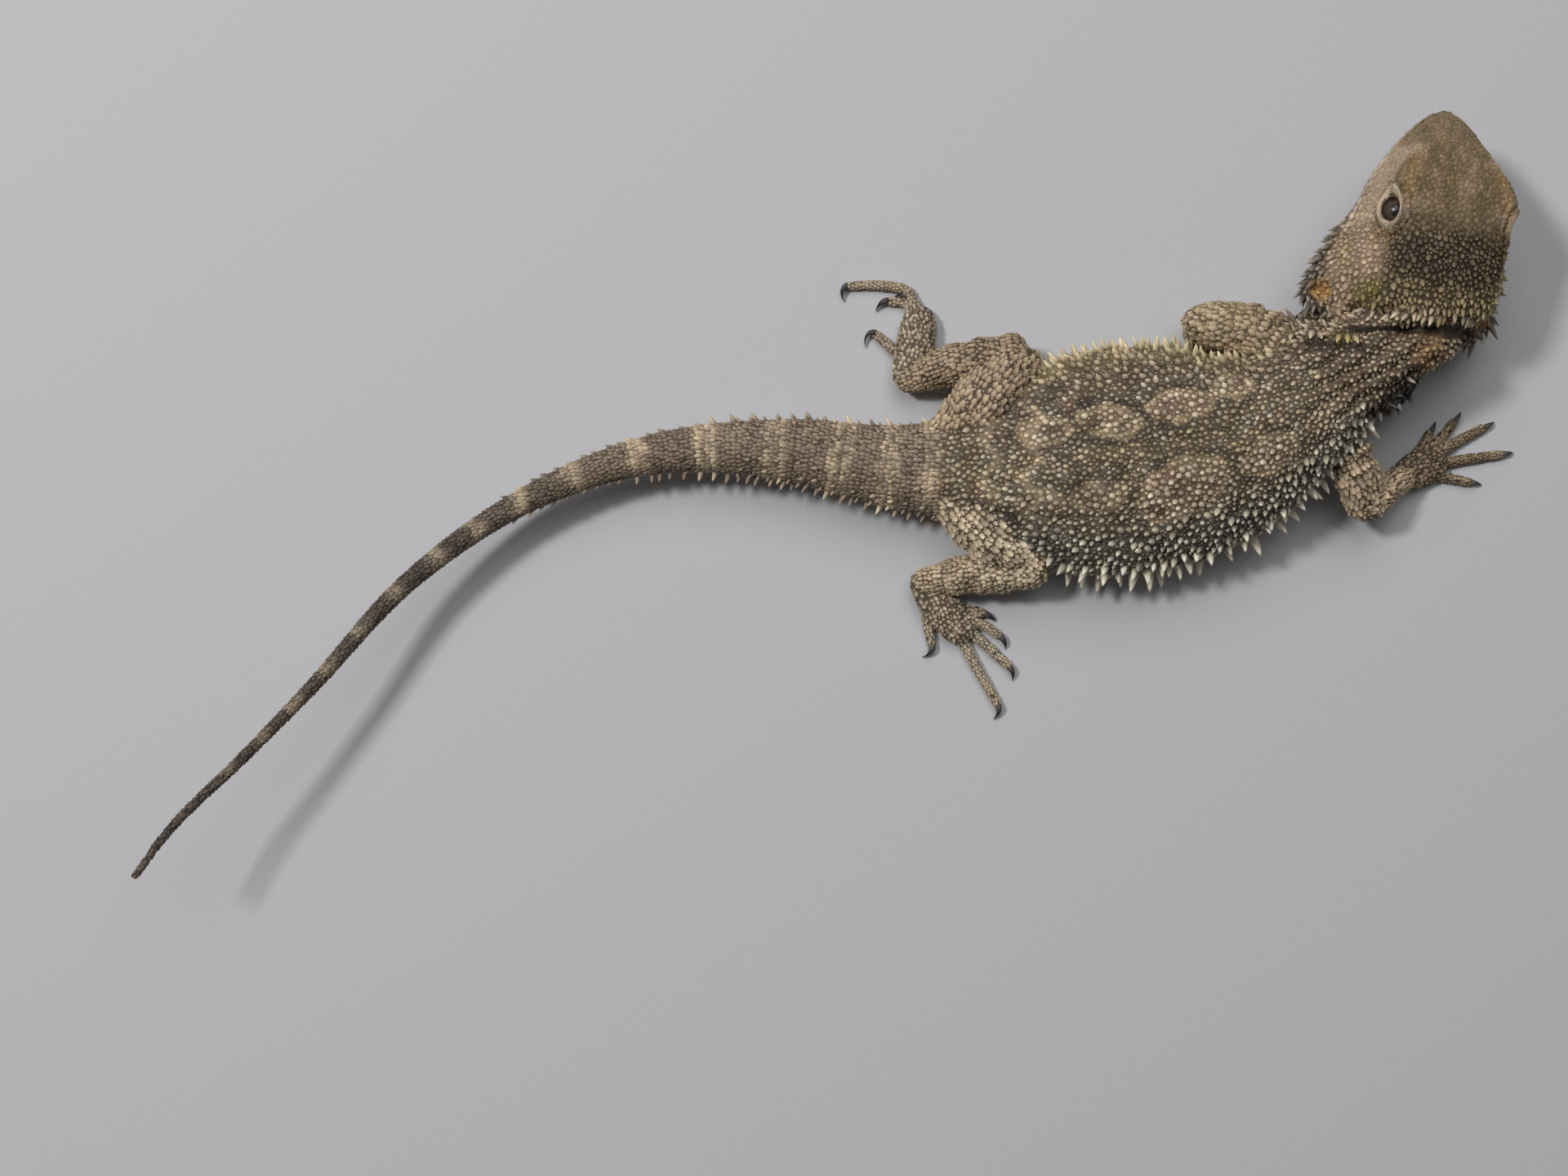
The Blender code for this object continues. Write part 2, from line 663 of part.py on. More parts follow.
def make_beard():
    """The swollen throat behind the jaw, with the pouch that hangs to the right of the neck."""
    bm = bmesh.new()
    add_loft(bm, [jaw_section(u) for u in BEARD_RINGS])
    beard = to_object(bm, "beard")
    pouch = bmesh.new()
    add_loft(pouch, tube_sections(POUCH_POINTS, POUCH_RADII, POUCH_SIDES, LIMB_SPACING))
    boolean(beard, "UNION", [to_object(pouch, "pouch")])
    boolean(beard, "DIFFERENCE", [pit(EAR_PLACE, side, EAR_SIZE, BEARD_SAG) for side in (1, -1)])
    return beard


def neck_rings(count):
    """The neck's sections from shoulders to head: centre, rotation and sizes, turning as they go."""
    end = BODY_LENGTHS[-1]
    start_centre = body_middle(end)
    ahead = (start_centre - body_middle(end - AXIS_STEP)).normalized()
    left = UP.cross(ahead).normalized()
    start_turn = Matrix((ahead, left, ahead.cross(left))).transposed().to_quaternion()
    start_sizes = BODY_STATIONS[-1][3:6]
    head_turn = HEAD_FRAME.to_quaternion()
    head_ahead = head_turn @ Vector((1, 0, 0))
    start_centre += ahead * GAP
    end_centre = HEAD_BASE - head_ahead * GAP
    reach = (end_centre - start_centre).length / 3
    path = geometry.interpolate_bezier(
        start_centre, start_centre + ahead * reach, end_centre - head_ahead * reach, end_centre, count
    )
    rings = []
    for step, centre in enumerate(path):
        part = step / (count - 1)
        sizes = [a + (b - a) * part for a, b in zip(start_sizes, NECK_AT_HEAD)]
        sizes[0] *= 1 - NECK_WAIST * math.sin(math.pi * part)
        rings.append((centre, start_turn.slerp(head_turn, part), sizes))
    return rings


def make_neck():
    """The short bend between the shoulders and the head."""
    sections = []
    for centre, turn, sizes in neck_rings(NECK_RINGS):
        offsets = superellipse(*sizes, NECK_SIDES)
        sections.append([centre + turn @ Vector((0, across, height)) for across, height in offsets])
    bm = bmesh.new()
    add_loft(bm, sections)
    return to_object(bm, "neck")


def tube_sections(points, radii, sides, spacing, flatten=1.0, end_angles=LIMB_END):
    """Sections of a tube along smooth points, with a rounded end at each side."""
    keys = [(*point, radius) for point, radius in zip(points, radii)]
    along = lengths_along(keys)
    count = max(3, round(along[-1] / spacing) + 1)
    places = np.linspace(0, along[-1], count)
    values = hermite(keys, along, places)
    sections = []
    for index, value in enumerate(values):
        before = Vector(values[max(index - 1, 0)][:3])
        after = Vector(values[min(index + 1, count - 1)][:3])
        ahead = (after - before).normalized()
        left = UP.cross(ahead).normalized()
        up = ahead.cross(left)
        ends = {0: -1, count - 1: 1}.get(index)
        ring = (Vector(value[:3]), ahead, left, up, value[3])
        if ends == -1:
            sections += round_end(ring, sides, -1, flatten, end_angles)[::-1]
        sections.append(oval(ring, sides, 1.0, 0.0, flatten))
        if ends == 1:
            sections += round_end(ring, sides, 1, flatten, end_angles)
    return sections


def oval(ring, sides, size, shift, flatten):
    centre, ahead, left, up, radius = ring
    points = []
    for step in range(sides):
        angle = math.tau * (step + 0.5) / sides
        out = left * math.cos(angle) + up * math.sin(angle) * flatten
        points.append(centre + ahead * shift + out * radius * size)
    return points


def round_end(ring, sides, way, flatten, end_angles):
    radius = ring[4]
    sections = []
    for angle in end_angles:
        shift = way * radius * math.sin(angle)
        sections.append(oval(ring, sides, math.cos(angle), shift, flatten))
    return sections


def make_limb(name):
    points, radii = LIMBS[name]
    bm = bmesh.new()
    add_loft(bm, tube_sections(points, radii, LIMB_SIDES, LIMB_SPACING))
    return to_object(bm, name)


def cut_at_floor(obj):
    """Cut away what lies below the floor and close the flat that is left."""
    bm = bmesh.new()
    bm.from_mesh(obj.data)
    geometry_parts = bm.verts[:] + bm.edges[:] + bm.faces[:]
    bmesh.ops.bisect_plane(
        bm, geom=geometry_parts, dist=1e-7, plane_co=(0, 0, 0), plane_no=(0, 0, 1), clear_inner=True
    )
    bmesh.ops.holes_fill(bm, edges=bm.edges, sides=0)
    bmesh.ops.recalc_face_normals(bm, faces=bm.faces)
    bm.to_mesh(obj.data)
    bm.free()


def make_toe(path):
    """One toe from inside the palm to its tip, resting on the floor."""
    count = len(path)
    points = []
    radii = []
    for index, (x, y) in enumerate(path):
        part = index / (count - 1)
        radius = TOE_RADIUS + (TOE_TIP_RADIUS - TOE_RADIUS) * part
        points.append((x, y, radius * TOE_LIFT))
        radii.append(radius)
    bm = bmesh.new()
    add_loft(bm, tube_sections(points, radii, TOE_SIDES, TOE_SPACING, end_angles=TOE_END))
    return to_object(bm, "toe")


def make_claw(path, turn):
    """One claw, a tapering hook that rises from the toe tip and comes down in front of it."""
    before, last = Vector((*path[-2], 0)), Vector((*path[-1], 0))
    ahead = (last - before).normalized()
    start = last + UP * TOE_TIP_RADIUS * CLAW_ROOT[0]
    sections = []
    for part in CLAW_STEPS:
        bend = Quaternion(UP, turn * part) @ ahead
        centre = start + bend * (TOE_TIP_RADIUS * CLAW_ROOT[1] + CLAW_LENGTH * part)
        centre.z += CLAW_ARCH * math.sin(math.pi * part) - (start.z - CLAW_TIP_HEIGHT) * part * part
        left = UP.cross(bend)
        radius = CLAW_RADIUS * (1 - CLAW_TAPER * part)
        ring = (centre, bend, left, UP, radius)
        sections.append(oval(ring, CLAW_SIDES, 1.0, 0.0, 1.0))
    bm = bmesh.new()
    add_loft(bm, sections)
    return to_object(bm, "claw")


def make_foot(name):
    """A palm with five toes and their claws, cut flat where it stands."""
    palm = FEET[name]["palm"]
    points = [ring[0] for ring in palm]
    radii = [ring[1] for ring in palm]
    bm = bmesh.new()
    flatten = palm[-1][2] / palm[-1][1]
    add_loft(bm, tube_sections(points, radii, PALM_SIDES, PALM_SPACING, flatten, TOE_END))
    foot = to_object(bm, name)
    pieces = []
    turns = CLAW_TURN.get(name, (0.0,) * len(FEET[name]["toes"]))
    for path, turn in zip(FEET[name]["toes"], turns):
        pieces.append(make_toe(path))
        pieces.append(make_claw(path, turn))
    boolean(foot, "UNION", pieces)
    cut_at_floor(foot)
    return foot


def cut_clear(obj, neighbours):
    """Cut the object back from each neighbour, leaving the thin gap."""
    boolean(obj, "DIFFERENCE", [swollen(neighbour) for neighbour in neighbours])
    return obj


def body_spot(place, angle):
    """A point on the body's surface, and the way ahead there."""
    section = body_section(place, 360)
    ahead = (body_middle(place + AXIS_STEP) - body_middle(place - AXIS_STEP)).normalized()
    return section[angle % 360], ahead


def body_middle(place):
    return Vector(hermite(BODY_STATIONS, BODY_LENGTHS, (place,))[0][:3])


def add_body_rows(spines, name):
    """Rows of spines along one length of the body, the same on both sides, each row out of step."""
    _, first, last, _, _ = next(part for part in BODY_PARTS if part[0] == name)
    start, end = BODY_LENGTHS[first] + ROW_END, BODY_LENGTHS[last] - ROW_END
    rows = [row for row in BODY_SPINE_ROWS if row[0] == name]
    for index, (_, angle, spacing, size, back) in enumerate(rows):
        for side_angle in (angle, 180 - angle):
            place = start + spacing / 2 * (index % 2)
            while place < end:
                spot, ahead = body_spot(place, side_angle)
                shrink = 1 - ROW_TAPER * (1 - place / BODY_LENGTHS[-1])
                spines.add(spot, (size[0] * shrink, size[1] * shrink), -ahead * back)
                place += spacing * spines.draw.uniform(1 - STEP_SPREAD, 1 + STEP_SPREAD)


def add_head_rows(spines, name):
    """The row across the nape, and the rows along the cheek, the corner of the jaw and the beard."""
    back = HEAD_FRAME.to_3x3() @ Vector((-1, 0, 0))
    for node, u, reach, count, size in NAPE_ROWS:
        if node != name:
            continue
        _, brow, brow_height, crown = hermite(CROWN_STATIONS, CROWN_LENGTHS, (u,))[0][1:]
        for step in range(count):
            side = reach * (2 * step / (count - 1) - 1)
            height = crown - (crown - NAPE_FALL * brow_height) * side * side
            spot = in_head(u - NAPE_BOW * abs(side), brow * side, height)
            spines.add(spot, size, back * NAPE_LEAN)
    for node, height, places, size in JAW_ROWS:
        if node != name:
            continue
        for u in places:
            width = hermite(JAW_STATIONS, JAW_LENGTHS, (u,))[0][1]
            sag = BEARD_SAG * beard_part(u)
            for side in (1, -1):
                spines.add(in_head(u, sag + side * width, height), size, back * JAW_LEAN)


def add_pouch_spines(spines):
    """Pale spines round the lower end of the throat pouch."""
    end = Vector(POUCH_POINTS[-1])
    way = (end - Vector(POUCH_POINTS[1])).normalized()
    across = UP.cross(way)
    for step in range(POUCH_SPINES):
        angle = math.tau * step / POUCH_SPINES
        forward, upward = POUCH_SPREAD
        out = way * forward + across * math.cos(angle) + UP * upward * math.sin(angle)
        spines.add(end + out * POUCH_RADII[-1], BEARD_SPINE, way * POUCH_LEAN)


def add_neck_rows(spines):
    """Rows along both sides and the top of the neck."""
    for angle, size in NECK_ROWS:
        for side_angle in (angle, 180 - angle):
            turn = math.radians(side_angle)
            for centre, rotation, sizes in neck_rings(NECK_ROW_COUNT)[1:-1]:
                across = sizes[0] * math.cos(turn)
                height = sizes[1] * math.sin(turn)
                back = rotation @ Vector((-1, 0, 0))
                spot = centre + rotation @ Vector((0, across, height))
                spines.add(spot, size, back * NECK_LEAN)


def finish(obj, kind, root):
    """Give the object its own material, smooth shading, its own origin and its parent."""
    colour, roughness = MATERIALS[kind]
    material = bpy.data.materials.new(obj.name + "_" + kind)
    material.use_nodes = True
    shader = material.node_tree.nodes["Principled BSDF"]
    shader.inputs["Base Color"].default_value = (*colour, 1.0)
    shader.inputs["Roughness"].default_value = roughness
    shader.inputs["Metallic"].default_value = 0.0
    obj.data.materials.clear()
    obj.data.materials.append(material)
    obj.data.shade_smooth()
    obj.data.set_sharp_from_angle(angle=math.radians(SHARP_ANGLE))
    corners = [Vector(corner) for corner in obj.bound_box]
    middle = sum(corners, Vector()) / len(corners)
    obj.data.transform(Matrix.Translation(-middle))
    obj.location = middle
    obj.parent = root


def main():
    clear_scene()
    nodes = {}
    for name, first, last, sides, spacing in BODY_PARTS:
        start = BODY_LENGTHS[first] + GAP / 2
        end = BODY_LENGTHS[last] - GAP / 2
        nodes[name] = make_body_length(name, start, end, sides, spacing)
    nodes["head"] = make_head()
    nodes["lower_jaw"] = make_jaw()
    nodes["beard"] = make_beard()
    nodes["neck"] = make_neck()
    nodes["eye_left"] = make_eye("eye_left", 1)
    nodes["eye_right"] = make_eye("eye_right", -1)
    for name in LIMBS:
        nodes[name] = make_limb(name)
    for name in FEET:
        nodes[name] = make_foot(name)
    for name, neighbours in CUT_BY:
        cut_clear(nodes[name], [nodes[other] for other in neighbours])
    for name, seed in SPINY_NODES:
        blockers = [other for key, other in nodes.items() if key != name]
        spines = Spines(nodes[name], blockers, seed)
        if name in ("head", "beard"):
            add_head_rows(spines, name)
        elif name == "neck":
            add_neck_rows(spines)
        else:
            add_body_rows(spines, name)
        if name == "beard":
            add_pouch_spines(spines)
        spines.join()
    root = bpy.data.objects.new("dragon_root", None)
    bpy.context.scene.collection.objects.link(root)
    for name, obj in nodes.items():
        finish(obj, NODE_KINDS.get(name, "limb_skin"), root)
    bpy.context.view_layer.update()
    corners = [obj.matrix_world @ Vector(corner) for obj in nodes.values() for corner in obj.bound_box]
    low = Vector([min(corner[axis] for corner in corners) for axis in range(3)])
    high = Vector([max(corner[axis] for corner in corners) for axis in range(3)])
    root.location = (-(low.x + high.x) / 2, -(low.y + high.y) / 2, -low.z)


main()
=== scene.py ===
# %% [markdown]
# # A central bearded dragon, dressed scale by scale
#
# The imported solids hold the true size, pose and outline of the animal. This lesson dresses them for
# a picture. One seamless skin takes the place of the fleshy solids, and then some twenty thousand
# scales and spines are set on that skin, in rows or at random, as they grow on the animal.

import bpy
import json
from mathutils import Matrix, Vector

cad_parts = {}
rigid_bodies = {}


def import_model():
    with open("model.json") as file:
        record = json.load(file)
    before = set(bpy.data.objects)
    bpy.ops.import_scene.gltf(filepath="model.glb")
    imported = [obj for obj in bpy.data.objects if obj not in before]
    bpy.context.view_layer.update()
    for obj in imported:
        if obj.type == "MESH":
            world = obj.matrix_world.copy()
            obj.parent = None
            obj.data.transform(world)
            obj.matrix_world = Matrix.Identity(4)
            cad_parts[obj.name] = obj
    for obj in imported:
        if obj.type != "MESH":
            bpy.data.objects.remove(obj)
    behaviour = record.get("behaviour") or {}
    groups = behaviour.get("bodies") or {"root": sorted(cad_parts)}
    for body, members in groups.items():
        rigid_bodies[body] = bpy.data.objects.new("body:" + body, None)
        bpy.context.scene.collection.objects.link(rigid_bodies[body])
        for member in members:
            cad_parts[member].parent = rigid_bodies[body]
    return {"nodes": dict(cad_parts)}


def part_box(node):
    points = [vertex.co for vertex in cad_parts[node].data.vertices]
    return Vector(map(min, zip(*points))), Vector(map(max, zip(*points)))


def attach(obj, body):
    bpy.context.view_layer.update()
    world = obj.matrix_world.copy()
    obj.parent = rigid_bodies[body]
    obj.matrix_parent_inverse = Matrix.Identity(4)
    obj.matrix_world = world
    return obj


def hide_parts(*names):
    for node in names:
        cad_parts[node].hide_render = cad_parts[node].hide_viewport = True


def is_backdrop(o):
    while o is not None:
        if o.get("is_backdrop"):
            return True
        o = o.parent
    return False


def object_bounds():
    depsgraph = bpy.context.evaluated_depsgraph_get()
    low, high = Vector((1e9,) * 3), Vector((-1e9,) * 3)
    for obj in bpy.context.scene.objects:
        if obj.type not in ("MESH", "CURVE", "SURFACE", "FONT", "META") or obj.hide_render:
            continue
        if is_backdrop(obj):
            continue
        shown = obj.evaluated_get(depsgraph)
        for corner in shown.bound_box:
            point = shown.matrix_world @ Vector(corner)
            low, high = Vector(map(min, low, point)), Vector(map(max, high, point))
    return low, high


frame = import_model()
cad_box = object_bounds()
print("solids:", len(frame["nodes"]))
print("size in mm:", [round(1000 * (high - low), 1) for low, high in zip(*cad_box)])

# %% [markdown]
# ## Smooth lines through a few measured stations
#
# A lizard's body is a long tube whose width and height change slowly. It could be sculpted by hand,
# but a few measured cross-sections with a smooth curve through them are exact, easy to change and
# the same on every run. All the work below is in millimetres, in the frame in which the animal was
# drawn: x towards the head, y to its left and z up from the floor.

# %% Tools for curves
import json
import math

import bmesh
import bpy
import numpy as np
from mathutils import Matrix, Quaternion, Vector, geometry
from mathutils.bvhtree import BVHTree

MM = 0.001
UP = Vector((0, 0, 1))
COAT = 0.45
FLOOR_CLEAR = 0.12


def hermite(keys, along, places):
    """Smooth values through the keys, which stand at the lengths in along."""
    keys = np.array(keys, float)
    along = np.array(along, float)
    slopes = np.gradient(keys, along, axis=0)
    values = []
    for place in places:
        first = int(np.clip(np.searchsorted(along, place) - 1, 0, len(along) - 2))
        span = along[first + 1] - along[first]
        t = (place - along[first]) / span
        near = (1 + 2 * t) * (1 - t) ** 2 * keys[first] + t * (1 - t) ** 2 * span * slopes[first]
        far = t * t * (3 - 2 * t) * keys[first + 1] + t * t * (t - 1) * span * slopes[first + 1]
        values.append(near + far)
    return np.array(values)


def as_rows(points):
    """Points of any kind as the rows of one array."""
    return np.array([tuple(point) for point in points], float)


def lengths_along(stations):
    """How far each station stands along the line through them all."""
    points = np.array([station[:3] for station in stations], float)
    steps = np.linalg.norm(np.diff(points, axis=0), axis=1)
    return np.concatenate([[0.0], np.cumsum(steps)])


def slimmer(radius):
    """A solid's radius less the depth of the scales, which are thinner where the body is thin."""
    return radius - min(COAT, 0.2 * radius)


# %% [markdown]
# ## The body axis
#
# Each station gives the middle of a cross-section, its half width, its rise to the back and its drop
# to the belly. The belly is flat where it lies on the floor, so no point goes below it. The skin is
# drawn a little inside the solids, so that the scales reach out to the true outline.

# %% Body stations and sections
TAIL_STATIONS = (
    (-182.4, -81.2, 36.0, 1.1, 1.1, 1.1),
    (-174.8, -70.2, 34.0, 1.4, 1.4, 1.4),
    (-152.5, -46.8, 28.2, 1.9, 1.9, 1.9),
    (-136.9, -30.1, 24.5, 2.3, 2.3, 2.3),
    (-107.6, 2.8, 18.0, 3.1, 3.0, 3.0),
    (-74.6, 26.0, 13.5, 4.1, 3.8, 3.8),
    (-38.3, 39.2, 11.6, 6.0, 5.4, 5.2),
    (0.0, 40.4, 11.5, 9.3, 7.8, 7.6),
    (35.8, 35.1, 11.5, 13.0, 9.8, 9.6),
)
TRUNK_STATIONS = (
    (45.5, 34.6, 11.7, 14.6, 11.2, 11.0),
    (57.2, 34.8, 12.0, 19.0, 13.5, 12.8),
    (81.0, 35.5, 12.5, 30.4, 18.0, 15.2),
    (104.8, 38.1, 13.0, 32.8, 20.0, 15.8),
    (127.4, 41.8, 14.5, 28.0, 20.0, 15.8),
    (144.0, 50.0, 17.0, 21.6, 19.0, 14.0),
    (156.8, 62.4, 21.5, 18.2, 17.0, 13.0),
)
BODY_STATIONS = TAIL_STATIONS + TRUNK_STATIONS
BODY_LENGTHS = lengths_along(BODY_STATIONS)
VENT = BODY_LENGTHS[len(TAIL_STATIONS)]
SHOULDER = BODY_LENGTHS[-1]
SECTION_POWER = 2.2
AXIS_STEP = 0.5


def superellipse(width, rise, drop, sides):
    """Offsets across and up from the centre of one body section."""
    offsets = []
    for step in range(sides):
        angle = math.tau * step / sides
        across = math.copysign(abs(math.cos(angle)) ** (2 / SECTION_POWER), math.cos(angle))
        height = math.copysign(abs(math.sin(angle)) ** (2 / SECTION_POWER), math.sin(angle))
        offsets.append((width * across, (rise if height > 0 else drop) * height))
    return offsets


def on_floor(points):
    """The points with none of them nearer to the floor than the scales under them need."""
    points = np.array(points, float)
    points[:, 2] = np.maximum(points[:, 2], COAT)
    return points


def body_middle(place):
    return Vector(hermite(BODY_STATIONS, BODY_LENGTHS, (place,))[0][:3])


def body_section(place, sides):
    """One section across the body: left side first, then over the back, right side and belly."""
    values = hermite(BODY_STATIONS, BODY_LENGTHS, (place - AXIS_STEP, place, place + AXIS_STEP))
    centre = Vector(values[1][:3])
    ahead = Vector(values[2][:3] - values[0][:3]).normalized()
    left = UP.cross(ahead).normalized()
    up = ahead.cross(left)
    sizes = [slimmer(size) for size in values[1][3:6]]
    return on_floor([centre + left * a + up * h for a, h in superellipse(*sizes, sides)])


print("tail:", round(VENT), "mm, trunk:", round(SHOULDER - VENT), "mm")

# %% [markdown]
# ## The head's own frame
#
# The head is turned and rolled on the neck. Its stations are easier to give in a frame of its own,
# back from the snout tip, to the left and up from the mouth line, and one matrix carries them to the
# body's frame. The upper and the lower half are two closed forms that later melt into one.

# %% Head stations and sections
CROWN_STATIONS = (
    (0.0, 1.8, 1.3, 2.6, 3.2),
    (1.2, 4.2, 3.2, 4.4, 5.2),
    (4.0, 7.4, 5.8, 6.6, 7.8),
    (9.0, 11.6, 9.2, 9.0, 10.6),
    (15.0, 15.6, 13.6, 11.8, 13.4),
    (21.0, 18.8, 17.6, 14.2, 15.8),
    (28.0, 20.8, 19.2, 15.6, 17.2),
    (36.0, 23.0, 18.0, 14.8, 17.4),
    (44.0, 24.6, 18.8, 13.4, 16.6),
    (51.0, 23.8, 19.4, 11.8, 15.2),
    (57.0, 20.6, 17.0, 10.4, 14.0),
)
JAW_STATIONS = (
    (0.0, 1.6, 1.6),
    (1.2, 3.9, 3.0),
    (4.0, 7.0, 4.6),
    (9.0, 11.2, 6.2),
    (15.0, 15.2, 7.4),
    (21.0, 18.4, 8.6),
    (28.0, 20.8, 10.4),
    (36.0, 24.0, 13.0),
    (44.0, 27.4, 15.2),
    (51.0, 29.4, 16.0),
    (57.0, 29.6, 15.4),
    (63.5, 22.0, 10.5),
)
CROWN_CURVE = ((0.22, 0.04), (0.45, 0.15), (0.66, 0.30), (0.82, 0.50), (0.93, 0.74))
CHEEK_CURVE = ((0.0, 1.0), (0.04, 0.86), (0.10, 0.72), (0.32, 0.56), (0.60, 0.42), (0.86, 0.26))
JAW_CURVE = ((0.99, 0.44), (0.94, 0.55), (0.86, 0.70), (0.74, 0.82), (0.58, 0.91), (0.40, 0.97), (0.2, 0.99))
HEAD_LENGTH = 57.0
LIP_BULGE = 1.5
LIP_TUCK = 0.5
LIP_OVERLAP = 0.8
BEARD_START = 31.0
BEARD_SAG = 2.2
BEARD_SHOULDER = 0.36
HEAD_BASE = Vector((179.7, 78.7, 26.0))
HEAD_TURNS = (("Z", 81.6), ("Y", -1.0), ("X", 12.0))
CROWN_LENGTHS = [station[0] for station in CROWN_STATIONS]
JAW_LENGTHS = [station[0] for station in JAW_STATIONS]

HEAD_FRAME = Matrix.Translation(HEAD_BASE)
for axis, degrees in HEAD_TURNS:
    HEAD_FRAME = HEAD_FRAME @ Matrix.Rotation(math.radians(degrees), 4, axis)
HEAD_AXES = np.array(HEAD_FRAME.to_3x3())


def in_head(u, left, height):
    """A point given back from the snout tip, to the left and up from the mouth line."""
    return HEAD_FRAME @ Vector((HEAD_LENGTH - u, left, height))


def head_places(points):
    """How far back, to the left and up from the mouth line each point is."""
    local = (np.asarray(points) - np.array(HEAD_BASE)) @ HEAD_AXES
    return HEAD_LENGTH - local[:, 0], local[:, 1], local[:, 2]


def crown_section(u):
    """The upper half of the head, closed a little below the mouth line."""
    values = hermite(CROWN_STATIONS, CROWN_LENGTHS, (u,))[0][1:]
    lip, brow, brow_height, crown = [slimmer(value) for value in values]
    half = [(across * brow, crown - fall * (crown - brow_height)) for across, fall in CROWN_CURVE]
    half += [(brow + out * (lip - brow), height * brow_height) for out, height in CHEEK_CURVE]
    half += [(lip, LIP_BULGE), (lip - LIP_TUCK, -LIP_OVERLAP)]
    right = [in_head(u, -across, height) for across, height in half]
    return [in_head(u, 0, crown)] + [in_head(u, *place) for place in half] + right[::-1]


def beard_part(u):
    """How far a distance back is from the jaw, 0, into the full beard, 1."""
    return min(1.0, max(0.0, (u - BEARD_START) / (HEAD_LENGTH - BEARD_START)))


def jaw_section(u):
    """The lower half of the head and the beard, closed a little above the mouth line."""
    width, drop = [slimmer(value) for value in hermite(JAW_STATIONS, JAW_LENGTHS, (u,))[0][1:]]
    lip = hermite(CROWN_STATIONS, CROWN_LENGTHS, (min(u, HEAD_LENGTH),))[0][1]
    full = beard_part(u)
    sag = BEARD_SAG * full
    shoulder = LIP_BULGE + (BEARD_SHOULDER * drop - LIP_BULGE) * full
    half = [(min(width, slimmer(lip)) - LIP_TUCK, LIP_OVERLAP), (width, -shoulder)]
    half += [(out * width, -down * drop) for out, down in JAW_CURVE]
    right = [in_head(u, sag - across, height) for across, height in half]
    return [in_head(u, sag + a, h) for a, h in half] + [in_head(u, sag, -drop)] + right[::-1]


# %% [markdown]
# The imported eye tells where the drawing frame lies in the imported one: its middle is known in both.
# Everything that follows is shifted by that one vector at the end.

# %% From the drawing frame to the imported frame
EYE_PLACE = (32.0, 14.8, 9.4)


def eye_middle(side):
    """The middle of the left eye, 1, or of the right eye, -1."""
    u, left, height = EYE_PLACE
    return in_head(u, left * side, height)


eye_low, eye_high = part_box("eye_left")
SHIFT = (eye_low + eye_high) / 2 / MM - eye_middle(1)
print("the packed frame lies at", [round(value, 2) for value in SHIFT])

# %% [markdown]
# ## Guides
#
# A guide is a tube of points that follows one part of the animal. It serves twice: lofted and capped
# it becomes flesh for the skin, and later its rings and turns say where each row of scales runs.

# %% The guide and the tube that limbs are made of
LIMB_END = (20, 40, 58, 74, 84)
TOE_END = (30, 55, 78)


class Guide:
    """A closed tube of points: rings along its length and sides round it."""

    def __init__(self, rings, along):
        self.rings = np.array([as_rows(ring) for ring in rings])
        self.along = np.array(along, float)
        steps = np.linalg.norm(np.roll(self.rings, -1, axis=1) - self.rings, axis=2)
        self.around = np.concatenate([np.zeros((len(steps), 1)), np.cumsum(steps, axis=1)], axis=1)

    def spot(self, place, turn):
        """Points at lengths along the tube and at turns, 0 to 1, round it."""
        sides = self.rings.shape[1]
        row = np.interp(place, self.along, np.arange(len(self.along)))
        low = np.minimum(row.astype(int), len(self.along) - 2)
        part = (row - low)[:, None]
        column = np.mod(turn, 1.0) * sides
        left = column.astype(int) % sides
        share = (column - np.floor(column))[:, None]
        right = (left + 1) % sides
        near = self.rings[low, left] * (1 - share) + self.rings[low, right] * share
        far = self.rings[low + 1, left] * (1 - share) + self.rings[low + 1, right] * share
        return near * (1 - part) + far * part

    def girth(self, place):
        return float(np.interp(place, self.along, self.around[:, -1]))

    def turn_at(self, place, distance):
        """The turn that lies a distance round the tube from the middle of its back."""
        ring = int(np.argmin(np.abs(self.along - place)))
        sides = self.rings.shape[1]
        around = self.around[ring]
        start = around[sides // 4]
        wanted = np.mod(start + distance, around[-1])
        return np.interp(wanted, around, np.arange(sides + 1)) / sides


def oval(centre, left, up, radius, size, flatten, sides):
    """Points round one section of a tube: left side first, then over its upper side."""
    points = []
    for step in range(sides):
        angle = math.tau * step / sides
        out = left * math.cos(angle) + up * math.sin(angle) * flatten
        points.append(centre + out * radius * size)
    return on_floor(points)


def tube(points, radii, sides, spacing, flatten=1.0, end_angles=LIMB_END):
    """A guide along smooth points, with a rounded end at each side."""
    keys = [(*point, slimmer(radius)) for point, radius in zip(points, radii)]
    along = lengths_along(keys)
    count = max(3, round(along[-1] / spacing) + 1)
    places = np.linspace(0, along[-1], count)
    values = hermite(keys, along, places)
    cap = [(math.sin(math.radians(angle)), math.cos(math.radians(angle))) for angle in end_angles]
    rings, lengths = [], []
    for index, value in enumerate(values):
        before = Vector(values[max(index - 1, 0)][:3])
        after = Vector(values[min(index + 1, count - 1)][:3])
        ahead = (after - before).normalized()
        left = UP.cross(ahead).normalized()
        shifts = [(0.0, 1.0)]
        if index == 0:
            shifts = [(-shift, size) for shift, size in cap[::-1]] + shifts
        if index == count - 1:
            shifts += cap
        for shift, size in shifts:
            middle = Vector(value[:3]) + ahead * shift * value[3]
            rings.append(oval(middle, left, ahead.cross(left), value[3], size, flatten, sides))
            lengths.append(places[index] + shift * value[3])
    return Guide(rings, lengths)


# %% [markdown]
# The trunk and tail are one guide. The neck bends and twists from the shoulders to the head, so its
# rings are turned step by step between the two, and one ring more at each end reaches into its
# neighbour, so that the forms overlap and can melt together.

